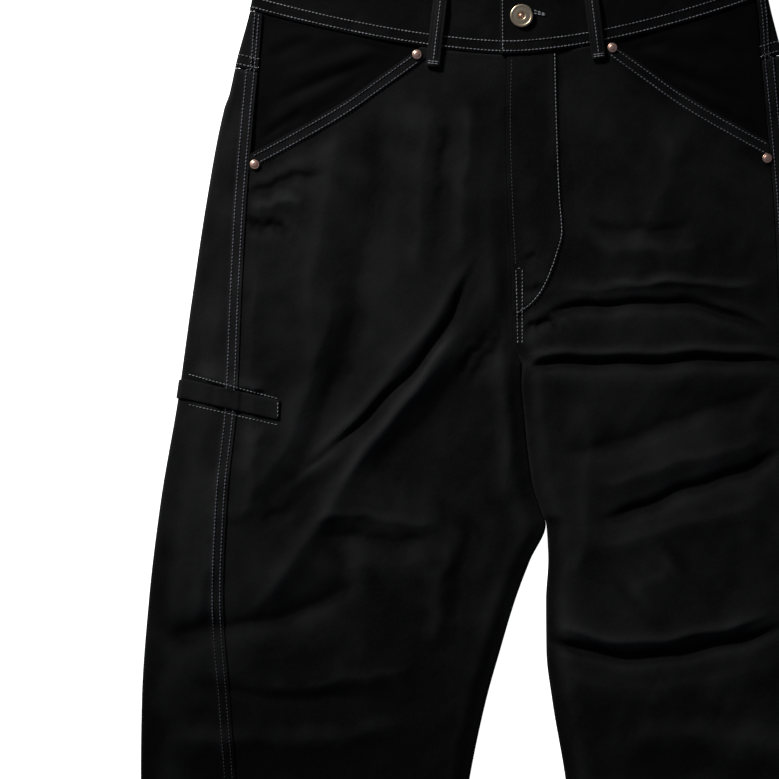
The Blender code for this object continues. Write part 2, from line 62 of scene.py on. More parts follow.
OUTLINE = np.array([
    # down, right leg, left leg, side seam of the right leg
    (-46, 206, 206, 196.6),
    (-34.8, 208, 208.5, 197.6),
    (4, 218.4, 218.4, 200.8),
    (33, 224.8, 224.8, 203.6),
    (42, 228.2, 228.2, 204.5),
    (116, 242.4, 242.4, 210.4),
    (196, 254.4, 254.4, 214.4),
    (276, 265.6, 265.6, 217.6),
    (356, 279.2, 279.2, 225.6),
    (436, 288.8, 288.8, 228.8),
    (516, 294.4, 294.4, 223.4),
    (572, 295.2, 295.2, 219.2),
    (636, 293.6, 294.4, 215.6),
    (716, 287.2, 290, 211.2),
    (796, 277.6, 284, 207.6),
    (876, 266.4, 275.5, 202.4),
    (956, 255.2, 266.4, 197.2),
])
CENTRE = np.array([
    # drop, fly edge x, seat seam x
    (0, -2.4, 0),
    (52, -3.7, 0.6),
    (135, -1.1, 1.4),
    (172, 0.8, 1.8),
    (232, 2.4, 2.4),
])
LEGS = np.array([
    # drop, inner edge of the right leg x, of the left leg x, which laps over the right
    (232, 2.4, 2.4),
    (240, 5.6, 5.6),
    (249, 9.7, 9.5),
    (262, 9.3, 9),
    (284, 11.1, 10.8),
    (340, 17.5, 17.2),
    (367, 25.8, 25.6),
    (375, 28.6, 28.9),
    (404, 16, 30.4),
    (436, 4, 28.6),
    (476, -8, 28.9),
    (516, -19.2, 33.6),
    (572, -31.2, 43.2),
    (636, -41.6, 52),
    (716, -51.2, 61.6),
    (796, -58.4, 68.8),
    (876, -63.2, 73.6),
    (956, -66.4, 77.6),
])
POCKET = np.array([
    # across, down, along the slanted edge of the right front
    (50, -21.5),
    (70, -7.2),
    (100, 14.3),
    (132.4, 37.1),
    (169.1, 58.6),
    (203, 77),
    (216, 84),
    (240, 97),
])
FLY = np.array([
    # down, x, along the curved stitching of the fly
    (-10, 35.2),
    (52, 36.7),
    (113, 39),
    (141, 41),
    (160, 36.5),
    (187, 25.6),
    (200, 15.2),
    (208, 2.4),
    (214, -12),
])
SIDES = {
    "right": dict(sign=-1.0, column=1, rise=34.8, out=0.0, up=0.0),
    "left": dict(sign=1.0, column=2, rise=46.0, out=6.0, up=6.0),
}

# Each fold runs from its left end to its right end.  Its two half widths are those of the
# side above the line and of the side below it, so one side can be steep.  The heights
# in the table are all scaled by FOLD_SCALE.
FOLD_SCALE = 1.2
FOLDS = {
    "right": [
        # from x, from down, to x, to down, bow, width above, width below, height
        (-204, 350, -143, 187, 11, 24, 12, 3.2),
        (-184, 354, -123, 190, 11, 14, 16, -2.6),
        (-190, 358, -37, 169, 11, 20, 8, 3),
        (-159, 325, -32, 178, 14, 3, 3.4, -2.8),
        (-135, 342, -42, 222, 0, 4.5, 9, 1.8),
        (-206, 448, -52, 236, -2, 18, 10, 3),
        (-110, 336, -4, 203, 5, 14, 24, -2.4),
        (-170, 360, -196, 372, 0, 4, 4, -1),
        (-33, 262, -5, 216, 2, 3.6, 4, -2),
        (-40, 254, -17, 224, 0, 3, 4, -1.6),
        (-4, 360, 2, 258, 0, 14, 7, 1.6),
        (-122, 190, -100, 60, 0, 16, 20, -2.6),
        (-160, 250, -138, 70, -6, 26, 18, 3.2),
        (-76, 175, -66, 40, 0, 18, 12, 2.2),
        (-42, 160, -34, 40, 2, 12, 7, 2),
        (-56, 118, -52, 60, 0, 4, 6, -1.2),
        (-208, 330, -204, 170, 0, 18, 14, 2.8),
        (-212, 372, -200, 296, 0, 14, 8, 2.4),
        (-250, 460, -232, 330, 0, 20, 10, 2.6),
        (-156, 369, -58, 378, -4, 20, 7, 2.6),
        (-150, 384, -66, 388, 0, 5, 12, -1.4),
        (-276, 462, -130, 428, 8, 12, 9, -3.6),
        (-132, 410, -60, 404, 0, 20, 22, 2.6),
        (-46, 450, -33, 370, 2, 8, 8, -2),
        (-62, 470, -50, 392, 0, 12, 6, 1.6),
        (-190, 505, -80, 488, 4, 14, 12, 2.6),
        (-250, 504, -120, 514, 4, 8, 9, -1.8),
        (-270, 546, -90, 536, 6, 16, 10, 2.6),
        (-262, 255, -196, 270, 0, 12, 2.2, 2.4),
        (-208, 111, -154, 95, -2, 4, 5, -2),
        (-209, 134, -176, 140, 0, 3.5, 5, -2.2),
        (-206, 122, -166, 116, 0, 6, 5, 1.6),
        (-250, 620, -70, 640, -8, 18, 14, -2.5),
        (-250, 760, -90, 720, 10, 26, 18, 3.2),
        (-230, 840, -80, 850, -6, 20, 14, -2.4),
    ],
    "left": [
        # from x, from down, to x, to down, bow, width above, width below, height
        (4, 163, 20, 163, 0, 2.5, 3, -1.6),
        (8, 188, 26, 187, 0, 2.5, 3, -1.4),
        (46, 190, 196, 186, -5, 9, 5, 2),
        (34, 206, 196, 214, -12, 2.8, 4, -3.8),
        (80, 182, 200, 184, 0, 2.6, 2.6, 1),
        (12, 222, 37, 217, -6, 2.6, 3, -3),
        (14, 243, 202, 241, -5, 7, 3, 1.4),
        (10, 250, 214, 246, -4, 2.4, 2.8, -5.4),
        (14, 262, 200, 258, 0, 8, 26, 1.4),
        (66, 134, 140, 136, 6, 7, 6, -1.6),
        (70, 152, 150, 152, 5, 9, 10, 1.6),
        (50, 318, 200, 268, 2, 15, 12, -3.2),
        (74, 342, 200, 306, 2, 16, 10, 2.6),
        (76, 369, 214, 318, 3, 5, 8, -3.6),
        (70, 392, 200, 356, 3, 12, 18, 2.6),
        (34, 457, 200, 448, 15, 14, 6, 3.6),
        (30, 468, 210, 458, 16, 3, 5, -4),
        (40, 496, 200, 488, 14, 14, 24, 1.8),
        (96, 160, 130, 66, 6, 20, 16, 2.2),
        (52, 420, 62, 290, 4, 16, 10, 2),
        (96, 430, 130, 404, 4, 14, 16, 1.8),
        (90, 545, 250, 560, -8, 22, 16, 3),
        (80, 640, 260, 610, 8, 20, 14, -2.6),
        (90, 730, 250, 760, -10, 26, 18, 3.2),
        (90, 850, 240, 840, 6, 20, 14, -2.4),
    ],
}


def smooth(t):
    """3t2 - 2t3 between 0 and 1, flat outside."""
    t = np.clip(t, 0.0, 1.0)
    return t * t * (3.0 - 2.0 * t)


def along(table, column, at):
    """Cubic through the rows of a table with slopes that never overshoot."""
    place, value = table[:, 0], table[:, column]
    step = np.diff(place)
    rise = np.diff(value) / step
    same = rise[:-1] * rise[1:] > 0.0
    total = np.where(same, rise[:-1] + rise[1:], 1.0)
    middle = np.where(same, 2.0 * rise[:-1] * rise[1:] / total, 0.0)
    slope = np.concatenate([rise[:1], middle, rise[-1:]])
    i = np.clip(np.searchsorted(place, at) - 1, 0, len(step) - 1)
    t = np.clip((at - place[i]) / step[i], 0.0, 1.0)
    low = (1.0 + 2.0 * t) * value[i] + t * step[i] * slope[i]
    high = (3.0 - 2.0 * t) * value[i + 1] - (1.0 - t) * step[i] * slope[i + 1]
    return (1.0 - t) ** 2 * low + t * t * high


def fade(drop):
    """Share of the waist's curve left in a row: 1 at the waist, 0 from 250 mm down."""
    return smooth(1.0 - drop / 250.0)


def height(side, share, drop, back):
    """y = -drop + fade times the curve of the waist seam, which rises as share to the
    power 1.6 in front and falls as share squared behind."""
    rise = SIDES[side]["rise"]
    share = np.clip(share, 0.0, 1.0)
    front_curve = rise * share ** 1.6
    back_curve = rise + (BACK_RISE - rise) * (1.0 - share ** 2)
    return -drop + fade(drop) * np.where(back, back_curve, front_curve)


def turn(drop):
    """0.02 above the crotch, easing to 1 at 30 mm below it: how far the edge folds down."""
    return np.maximum(smooth((drop - CROTCH) / 30.0), 0.02)


def row(side, drop, back):
    """Across-distances where the flat part of a row starts and ends."""
    sign = SIDES[side]["sign"]
    centre = sign * along(CENTRE, 2 if back else 1, drop)
    leg = sign * along(LEGS, SIDES[side]["column"], drop)
    edge = np.where(drop < CROTCH, centre, leg)
    if back:
        edge = edge - sign * 1.2 * smooth((248.0 - drop) / 10.0)
    bend = turn(drop)
    start = edge + TURN / bend * np.sin(bend * np.radians(83.5))
    side_down = drop - SIDES[side]["rise"] * fade(drop)
    return start, along(OUTLINE, SIDES[side]["column"], side_down) - TURN


def seam_line(side, drop):
    """Across-distance of the side seam in a row."""
    side_down = drop - SIDES[side]["rise"] * fade(drop)
    wider = along(OUTLINE, SIDES[side]["column"], side_down) - along(OUTLINE, 1, side_down)
    return along(OUTLINE, 3, side_down) + wider


def below_pocket(side, across, down):
    """Distance below the slanted pocket edge: 0.86 times the drop from it."""
    pocket = along(POCKET, 1, across - SIDES[side]["out"]) - SIDES[side]["up"]
    return 0.86 * (down - pocket)


def pocket_line(side, drop):
    """Halving search for where a row meets the pocket edge, or the side seam below it."""
    low = np.full_like(drop, 55.0)
    high = seam_line(side, drop)
    end = row(side, drop, False)[1]
    for _ in range(40):
        middle = 0.5 * (low + high)
        under = below_pocket(side, middle, -height(side, middle / end, drop, False)) > 0.0
        low = np.where(under, middle, low)
        high = np.where(under, high, middle)
    return low


def pocket_corner(side):
    """Row where the pocket edge meets the side seam."""
    drop = np.linspace(60.0, 150.0, 1801)
    seam = seam_line(side, drop)
    down = -height(side, seam / row(side, drop, False)[1], drop, False)
    return drop[np.argmax(below_pocket(side, seam, down) > 0.0)]


def folds(side, x, down):
    """Sum of tents exp(-(off / width) to the 1.35) along bowed lines, which wander a
    little and are eased out at their ends."""
    total = np.zeros_like(x)
    for x1, down1, x2, down2, bow, above, below, rise in FOLDS[side]:
        length = np.hypot(x2 - x1, down2 - down1)
        run_x, run_down = (x2 - x1) / length, (down2 - down1) / length
        t = ((x - x1) * run_x + (down - down1) * run_down) / length
        off = (down - down1) * run_x - (x - x1) * run_down - 4.0 * bow * t * (1.0 - t)
        off = off + 1.6 * np.sin(9.0 * t + 0.05 * x1) + 0.8 * np.sin(23.0 * t + down1)
        width = np.where(off > 0.0, below, above)
        ends = smooth((t + 0.1) / 0.25) * smooth((1.1 - t) / 0.25)
        total += FOLD_SCALE * rise * ends * np.exp(-np.abs(off / width) ** 1.35)
    return total


waves = np.random.default_rng(11)
WAVE_LENGTH = np.exp(waves.uniform(np.log(17.0), np.log(75.0), 26))
WAVE_ANGLE = waves.uniform(0.0, np.pi, 26)
WAVE_START = waves.uniform(0.0, 6.28, 26)


def rumple(x, down):
    """Small unevenness of washed cloth: 26 sines 17 to 75 mm long in all directions, each
    as high as its length times a constant, with the places bent by two slow sines."""
    bent_x = x + 7.0 * np.sin(down / 41.0) + 4.0 * np.sin(down / 17.0 + x / 60.0)
    bent_down = down + 8.0 * np.sin(x / 37.0) + 4.0 * np.sin(x / 19.0 - down / 50.0)
    total = np.zeros_like(bent_x)
    for length, angle, start in zip(WAVE_LENGTH, WAVE_ANGLE, WAVE_START):
        place = bent_x * np.cos(angle) + bent_down * np.sin(angle)
        total += 0.0013 * length * np.sin(6.2832 * place / length + start)
    return total


def relief(side, across, drop):
    """Height of the top layer over its flat base: air, folds and rumple, eased to nothing
    at the edges and the pocket band, and never under -1.9."""
    start, end = row(side, drop, False)
    x = SIDES[side]["sign"] * across
    down = -height(side, across / end, drop, False)
    edges = smooth((across - start) / 14.0) * smooth((end - across) / 24.0)
    ends = smooth((HEM - 30.0 - drop) / 60.0) * smooth((drop - 20.0) / 40.0)
    pocket = smooth((below_pocket(side, across, down) - 12.0) / 16.0)
    air = 3.4 * smooth((drop - 40.0) / 200.0)
    total = (air + folds(side, x, down)) * edges * ends * pocket
    total = -1.9 + 0.7 * np.logaddexp(0.0, (total + 1.9) / 0.7)
    near = smooth((across - start) / 6.0) * smooth((end - across) / 6.0)
    return total + rumple(x, down) * near * smooth((drop - 2.0) / 12.0)


def surface(side, ring, drop, depth=0.0, raised=0.0):
    """Points of a leg as a flattened tube.  ring goes round it: -0.5 inseam, 0 to 1 top
    layer outwards, 1 to 2 half circle at the side edge, 2 to 3 bottom layer inwards, 3.5
    inseam again.  depth shrinks the tube; raised thickens the top layer.  Between the
    crotch and the point where the legs part, the left leg's edge laps over the right's."""
    ring, drop = np.broadcast_arrays(np.asarray(ring, float), np.asarray(drop, float))
    back = ring > 1.5
    start_front, end = row(side, drop, False)
    start = np.where(back, row(side, drop, True)[0], start_front)
    lift = HIP_LIFT * smooth((275.0 - drop) / 40.0)
    bend = turn(drop)
    inner = np.clip(np.where(back, ring - 3.0, -ring) / 0.5, 0.0, 1.0)
    inner = inner * bend * np.radians(83.5)
    inner_radius = TURN / bend - depth
    outer = np.pi * np.clip(ring - 1.0, 0.0, 1.0)
    span = np.clip(np.where(back, 3.0 - ring, ring), 0.0, 1.0)
    across = start + span * (end - start)
    top = lift + 2.0 * TURN - depth + relief(side, across, drop) + raised
    on_inner = (ring < 0.0) | (ring > 3.0)
    on_outer = (ring > 1.0) & (ring < 2.0)
    curved = TURN / bend - inner_radius * np.cos(inner)
    z = np.where(back, lift + depth, top)
    folded = np.where(back, lift + curved, lift + 2.0 * TURN - curved + raised)
    z = np.where(on_inner, folded, z)
    z = np.where(on_outer, lift + TURN + (TURN - depth) * np.cos(outer), z)
    across = np.where(on_inner, start - inner_radius * np.sin(inner), across)
    across = np.where(on_outer, end + (TURN - depth) * np.sin(outer), across)
    if side == "left":
        lap = smooth((drop - 236.0) / 14.0) * smooth((376.0 - drop) / 10.0)
        z = z + 2.3 * lap * smooth((start + 20.0 - across) / 18.0)
    y = height(side, across / end, drop, back)
    return np.stack([SIDES[side]["sign"] * across, y, z], axis=-1)


def ring_at(side, across, drop):
    """Ring number of a point of the top layer."""
    start, end = row(side, drop, False)
    return (across - start) / (end - start)


def drop_at(side, across, down):
    """Row that passes through a point of the top layer, by repeated substitution."""
    drop = np.array(down, float) + 0.0 * across
    for _ in range(30):
        end = row(side, drop, False)[1]
        drop = down + drop + height(side, across / end, drop, False)
    return drop


def colour(hex_code):
    """sRGB hex to linear: c / 12.92 when small, else ((c + 0.055) / 1.055) to the 2.4."""
    value = [int(hex_code[i:i + 2], 16) / 255.0 for i in (1, 3, 5)]
    value = [c / 12.92 if c <= 0.04045 else ((c + 0.055) / 1.055) ** 2.4 for c in value]
    return (*value, 1.0)


def add(tree, kind, links=(), inputs=(), **settings):
    """Add a node with its settings, constant inputs and links from other sockets."""
    node = tree.nodes.new(kind)
    for key, value in settings.items():
        setattr(node, key, value)
    for socket, value in inputs:
        node.inputs[socket].default_value = value
    for socket, source in links:
        tree.links.new(source, node.inputs[socket])
    return node


# Black cotton twill, piece dyed and washed: nearly no shine and a faint diagonal rib.  Its
# greyer colour is mixed in by the wash patches, by slubs and by the crest attribute, which is
# partly rubbed dye and partly painted light: painted highlight on fold crests and edges,
# painted shade in creases and below the knees.  The rib is drawn at 1.9 mm, twice its real
# pitch, so that it shows.  Washed patches are about 67 mm across, crinkles 16 mm and
# slubs 2.4 mm, coarser than the real 1 mm for the same reason.
RIB_ANGLE = 32.0


def black_twill(name, body, worn_and_lit_body):
    material = bpy.data.materials.new(name)
    material.use_nodes = True
    tree = material.node_tree
    shader = tree.nodes["Principled BSDF"]
    shader.inputs["Roughness"].default_value = 0.75
    shader.inputs["Specular IOR Level"].default_value = 0.03
    shader.inputs["Sheen Weight"].default_value = 0.01
    shader.inputs["Sheen Roughness"].default_value = 0.45
    place = add(tree, "ShaderNodeTexCoord").outputs["Object"]
    turned = add(tree, "ShaderNodeMapping", [("Vector", place)],
                 [("Rotation", (0.0, 0.0, np.radians(RIB_ANGLE)))])
    rib = add(tree, "ShaderNodeTexWave", [("Vector", turned.outputs[0])],
              [("Scale", 166.0), ("Distortion", 1.2), ("Detail", 2.0), ("Detail Scale", 3.0)],
              wave_type="BANDS", bands_direction="X")
    wash = add(tree, "ShaderNodeTexNoise", [("Vector", place)],
               [("Scale", 15.0), ("Detail", 5.0), ("Roughness", 0.6)])
    slub = add(tree, "ShaderNodeTexNoise", [("Vector", place)],
               [("Scale", 420.0), ("Detail", 3.0), ("Roughness", 0.7)])
    # The crest attribute: rubbed dye together with painted highlight on ridges and painted
    # shade in creases and below the knees.
    crest = add(tree, "ShaderNodeAttribute", attribute_name="crest")
    patch = add(tree, "ShaderNodeMapRange", [("Value", wash.outputs["Fac"])],
                [("From Min", 0.35), ("From Max", 0.68), ("To Min", 0.04), ("To Max", 0.46)])
    worn_and_painted_light = add(tree, "ShaderNodeMath",
               [(0, patch.outputs[0]), (1, crest.outputs["Fac"])], operation="ADD",
               use_clamp=True)
    speck = add(tree, "ShaderNodeMapRange", [("Value", slub.outputs["Fac"])],
                [("From Min", 0.3), ("From Max", 0.75), ("To Min", 0.0), ("To Max", 0.16)])
    amount = add(tree, "ShaderNodeMath",
                 [(0, worn_and_painted_light.outputs[0]), (1, speck.outputs[0])], operation="ADD",
                 use_clamp=True)
    mix = add(tree, "ShaderNodeMix", [("Factor", amount.outputs[0])], data_type="RGBA")
    mix.inputs["A"].default_value = colour(body)
    mix.inputs["B"].default_value = colour(worn_and_lit_body)
    tree.links.new(mix.outputs["Result"], shader.inputs["Base Color"])
    crease = add(tree, "ShaderNodeTexNoise", [("Vector", place)],
                 [("Scale", 62.0), ("Detail", 3.0), ("Roughness", 0.5),
                  ("Distortion", 0.6)])
    soft = add(tree, "ShaderNodeBump", [("Height", crease.outputs["Fac"])],
               [("Strength", 0.2), ("Distance", 0.0025)])
    ribbed = add(tree, "ShaderNodeBump",
                 [("Height", rib.outputs["Fac"]), ("Normal", soft.outputs[0])],
                 [("Strength", 0.16), ("Distance", 0.0004)])
    fuzzy = add(tree, "ShaderNodeBump",
                [("Height", slub.outputs["Fac"]), ("Normal", ribbed.outputs[0])],
                [("Strength", 0.3), ("Distance", 0.0005)])
    tree.links.new(fuzzy.outputs[0], shader.inputs["Normal"])
    return material


def lay_mesh(name, points, faces, material, crest=None):
    """Make an object at the origin from points in millimetres and faces, smooth shaded."""
    mesh = bpy.data.meshes.new(name)
    moved = (np.asarray(points) - (0.0, MIDDLE_Y, 0.0)) / 1000.0
    faces = np.asarray(faces, dtype=np.int32)
    count, corners = faces.shape
    mesh.vertices.add(len(moved))
    mesh.vertices.foreach_set("co", moved.astype(np.float32).ravel())
    mesh.loops.add(count * corners)
    mesh.loops.foreach_set("vertex_index", faces.ravel())
    mesh.polygons.add(count)
    mesh.polygons.foreach_set("loop_start", np.arange(0, count * corners, corners,
                                                      dtype=np.int32))
    mesh.update(calc_edges=True)
    mesh.polygons.foreach_set("use_smooth", np.ones(count, dtype=bool))
    if crest is not None:
        mesh.attributes.new("crest", "FLOAT", "POINT").data.foreach_set(
            "value", crest.astype(np.float32).ravel())
    mesh.materials.append(material)
    piece = bpy.data.objects.new(name, mesh)
    bpy.context.scene.collection.objects.link(piece)
    return piece


def cloth(name, outside, inside, material, crest=None):
    """A closed panel from two matching grids of points, joined round their border."""
    rows, columns = outside.shape[:2]
    first = (np.arange(rows - 1)[:, None] * columns + np.arange(columns - 1)).ravel()
    face = np.stack([first, first + 1, first + columns + 1, first + columns], axis=1)
    under = face[:, ::-1] + rows * columns
    border = np.concatenate([
        np.arange(columns), np.arange(1, rows) * columns + columns - 1,
        (rows - 1) * columns + np.arange(columns - 2, -1, -1),
        np.arange(rows - 2, 0, -1) * columns])
    after = np.roll(border, -1)
    wall = np.stack([border, border + rows * columns, after + rows * columns, after], axis=1)
    faces = np.concatenate([face, under, wall])
    points = np.concatenate([outside.reshape(-1, 3), inside.reshape(-1, 3)])
    a, b, c = (points[faces[:, k]] for k in (0, 1, 2))
    d = points[faces[:, 3]]
    volume = np.einsum("ij,ij->", a, np.cross(b, c)) + np.einsum("ij,ij->", a, np.cross(c, d))
    if volume < 0.0:
        faces = faces[:, ::-1]
    if crest is None:
        crest = np.zeros((rows, columns))
    return lay_mesh(name, points, faces, material, np.concatenate([crest.ravel()] * 2))


def sewn_cloth(piece, node):
    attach(piece, "root")
    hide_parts(node)


TWILL = black_twill("washed_black_cotton_twill", "#050505", "#1b1b1b")


def front_grid(side):
    """Rows every 1.6 mm down to the knee and every 3.7 mm below it; columns closer at the
    inseam, the pocket band and the seam."""
    corner = pocket_corner(side)
    drops = np.concatenate([np.linspace(2.0 * SEAM, corner, 46),
                            np.linspace(corner, 520.0, 250)[1:],
                            np.linspace(520.0, HEM, 120)[1:]])[:, None]
    start = row(side, drops, False)[0]
    stop = pocket_line(side, drops) - SEAM
    across = start + np.linspace(0.0, 1.0, 82)[None, :] * (stop - 12.5 - start)
    band = stop - np.array([[11.6, 10.9, 10.3, 9.6, 8.0, 5.5, 3.0, 1.2, 0.5, 0.0]])
    across = np.concatenate([across, band], axis=1)
    ring = ring_at(side, across, drops)
    turned = np.broadcast_to(np.linspace(-0.5, -0.08, 6)[None, :], (len(drops), 6))
    ring = np.concatenate([turned, ring], axis=1)
    across = np.concatenate([np.repeat(start, 6, axis=1), across], axis=1)
    down = -height(side, across / row(side, drops, False)[1], drops, False)
    gap = below_pocket(side, across, down)
    raised = 0.8 * smooth((11.4 - gap) / 1.4) * smooth((corner + 24.0 - drops) / 10.0)
    raised = np.maximum(raised, 0.6 * smooth((drops - HEM + HEM_TURN) / 1.6))
    if side == "left":
        lap = smooth((along(FLY, 1, down) - across + 1.5) / 3.0)
        raised = np.maximum(raised, 1.2 * lap * smooth((214.0 - drops) / 12.0))
    return ring, drops, raised, down


# How much lighter or darker than usual the cloth is painted, partly rubbed dye and partly
# painted light and shade: lightest on the thighs, darkest at the fly and below the knees.
PAINTED_LIGHT_AND_RUB = [
    # x, down, half width, half height, amount
    (-120, 110, 70, 90, 0.16),
    (-170, 300, 60, 70, 0.16),
    (-235, 420, 40, 120, 0.3),
    (16, 90, 24, 110, -0.3),
    (130, 100, 70, 70, -0.06),
    (110, 340, 60, 70, 0.12),
    (-20, 330, 40, 90, -0.16),
    (-150, 570, 160, 120, -0.3),
    (120, 560, 90, 90, -0.2),
    (90, 300, 60, 40, 0.1),
]


def painted_light_and_rub(x, down):
    """Painted light and shade, partly rubbed dye: sum of soft round patches
    exp(-(dx / width)2 - (ddown / height)2).
    """
    total = 0.0
    for middle, level, wide, tall, amount in PAINTED_LIGHT_AND_RUB:
        total = total + amount * np.exp(-((x - middle) / wide) ** 2
                                        - ((down - level) / tall) ** 2)
    return total


def ridge_rub_and_crease_shade(outside):
    """Painted highlight on high places, partly rubbed dye, and painted shade in low places:
    height over the mean of the four places five cells away, which is 8 to 18 mm, times 0.28."""
    z = outside[..., 2]
    reach = 5
    padded = np.pad(z, reach, mode="edge")
    around = (padded[2 * reach:, reach:-reach] + padded[:-2 * reach, reach:-reach]
              + padded[reach:-reach, 2 * reach:] + padded[reach:-reach, :-2 * reach]) / 4.0
    return np.clip((z - around) * 0.28, -0.25, 0.6)


for side in SIDES:
    ring, drops, raised, down = front_grid(side)
    outside = surface(side, ring, drops, 0.0, raised)
    inside = surface(side, ring, drops, WALL)
    # Painted highlight and shade from the folds, and painted light patches, with some rubbed
    # dye.
    crest = ridge_rub_and_crease_shade(outside) + painted_light_and_rub(outside[..., 0], down)
    piece = cloth("front_panel_" + side, outside, inside, TWILL, crest)
    sewn_cloth(piece, "front_" + side)


# Back panels
# Each back wraps round the side of the leg from the side seam to the seat seam and the
# inseam.  Its edge is felled over the front's and double stitched, so it stands a little
# higher; underneath it lies flat on the surface, with only shallow creases.

YOKE_SIDE = 43.0
YOKE_DIP = 17.0


def yoke_dip(ring):
    """Dip of the yoke seam: 17 mm times 1 - share squared, deepest at the centre back."""
    return YOKE_DIP * (1.0 - np.clip(3.0 - ring, 0.0, 1.0) ** 2)


def back_ring(side, drops, fell=10.0):
    """Columns from the side seam round to the inseam, and the felled edge's height."""
    seam = seam_line(side, drops)
    near = seam + np.array([[SEAM, 0.6, 1.4, 4.0, 7.0, fell - 0.7, fell, fell + 0.7]])
    near = ring_at(side, near, drops)
    top = near[:, -1:] + np.linspace(0.0, 1.0, 18)[None, 1:] * (1.0 - near[:, -1:])
    rest = np.concatenate([1.0 + np.arange(1, 10) / 10.0, np.linspace(2.0, 3.0, 34),
                           np.linspace(3.06, 3.5, 6)])
    rest = np.broadcast_to(rest[None, :], (len(drops), len(rest)))
    ring = np.concatenate([near, top, rest], axis=1)
    raised = np.zeros_like(ring)
    raised[:, :8] = np.array([[0.9, 0.9, 0.9, 0.9, 0.9, 0.9, 0.45, 0.0]])
    return ring, raised


def underside(side, ring, drops):
    """Shallow creases of the bottom layer: rumple folded upwards, at most 0.7 mm."""
    x = SIDES[side]["sign"] * 120.0 * (3.0 - ring)
    low = smooth((ring - 2.05) / 0.1) * smooth((2.97 - ring) / 0.05)
    return 0.7 * low * smooth(rumple(x, drops + 400.0) * 0.8)


for side in SIDES:
    drops = np.concatenate([np.linspace(YOKE_SIDE + SEAM, 100.0, 22),
                            np.linspace(100.0, HEM, 286)[1:]])[:, None]
    ring, raised = back_ring(side, drops)
    drops = drops + yoke_dip(ring) * np.clip(1.0 - (drops - YOKE_SIDE) / 150.0, 0.0, 1.0)
    raised = np.maximum(raised, np.where(ring < 1.0, 0.6, 0.0)
                        * smooth((drops - HEM + HEM_TURN) / 1.6))
    creased = underside(side, ring, drops)
    outside = surface(side, ring, drops, creased, raised)
    inside = surface(side, ring, drops, WALL + 0.6 * creased)
    # Painted highlight and shade as on the fronts, plus 0.12 down to 420 mm: painted light on
    # the strip of back panel seen at the side edge, with some rubbed dye.
    crest = ridge_rub_and_crease_shade(outside) + painted_light_and_rub(outside[..., 0], drops) + 0.12 * smooth(
        (420.0 - drops) / 60.0)
    crest = np.where(ring < 1.5, crest, 0.0)
    piece = cloth("back_panel_" + side, outside, inside, TWILL, crest)
    sewn_cloth(piece, "back_" + side)


# Yokes
# A shaped band of the same twill between the back panel and the waistband.  Its ends show
# beside the side seams; the seam below it is felled and double stitched.

for side in SIDES:
    shares = np.linspace(0.0, 1.0, 20)[:, None]
    flat = 2.0 * SEAM + shares * (YOKE_SIDE - 3.0 * SEAM)
    ring, raised = back_ring(side, flat, 7.0)
    ring[:, 5:8] = ring_at(side, seam_line(side, flat) + np.array([[6.3, 7.0, 7.7]]), flat)
    drops = flat + shares * yoke_dip(ring)
    outside = surface(side, ring, drops, 0.0, raised)
    inside = surface(side, ring, drops, WALL)
    piece = cloth("yoke_panel_" + side, outside, inside, TWILL)
    sewn_cloth(piece, "yoke_" + side)


# Pocket facings
# The piece of twill that closes the pocket behind the slanted edge and is sewn into the
# side seam.  It lies lower than the front and keeps the creases of the hand's opening.

FACING_WALL = 1.2
FACING = black_twill("shaded_black_cotton_twill", "#020202", "#0a0a0a")
CREASES = [
    # from across, from down, to across, to down, half width, height
    (96, -8, 190, 22, 7, 1.6),
    (104, 2, 196, 40, 4, -1),
    (124, 16, 198, 58, 7, 1.4),
    (150, -18, 198, 4, 6, -0.9),
    (160, 40, 202, 70, 4, -0.8),
    (92, -2, 132, -12, 3.5, -1),
    (120, -22, 196, -14, 8, 1),
]

for side in SIDES:
    corner = pocket_corner(side)
    drops = np.concatenate([np.linspace(2.0 * SEAM, corner, 60),
                            corner + np.array([4.0, 8.0])])[:, None]
    line = pocket_line(side, drops)
    seam = seam_line(side, drops) - SEAM
    first = np.minimum(line, seam - 6.0)
    across = np.concatenate([first - 12.0, first - 6.0,
                             first + np.linspace(0.0, 1.0, 60)[None, :] * (seam - first)],
                            axis=1)
    ring = ring_at(side, across, drops)
    down = -height(side, across / row(side, drops, False)[1], drops, False)
    flat_z = HIP_LIFT + 2.0 * TURN
    sunk = 1.7 - 1.1 * smooth((across - line) / 60.0)
    bent = rumple(across, down)
    for a1, d1, a2, d2, width, rise in CREASES:
        length = np.hypot(a2 - a1, d2 - d1)
        t = ((across - a1) * (a2 - a1) + (down - d1) * (d2 - d1)) / length ** 2
        off = ((down - d1) * (a2 - a1) - (across - a1) * (d2 - d1)) / length
        bent = bent + rise * smooth(t / 0.3) * smooth((1.0 - t) / 0.3) * np.exp(
            -(off / width) ** 2)
    free = smooth((across - line - 2.0) / 10.0) * smooth((seam - across) / 10.0)
    bent = bent * free * smooth((drops - 1.0) / 10.0)
    outside = surface(side, ring, drops)
    outside[..., 2] = flat_z - sunk + bent
    inside = outside - (0.0, 0.0, FACING_WALL)
    piece = cloth("pocket_back_" + side, outside, inside, FACING, ridge_rub_and_crease_shade(outside))
    sewn_cloth(piece, "pocket_facing_" + side)


# Waistband
# A straight band of doubled twill, sewn over the top of the panels and folded round the
# sides.  The left end rides over the right end and carries the button.

BAND_WALL = 2.0
BAND_BASE = 1.7
BAND_TURN = 3.0


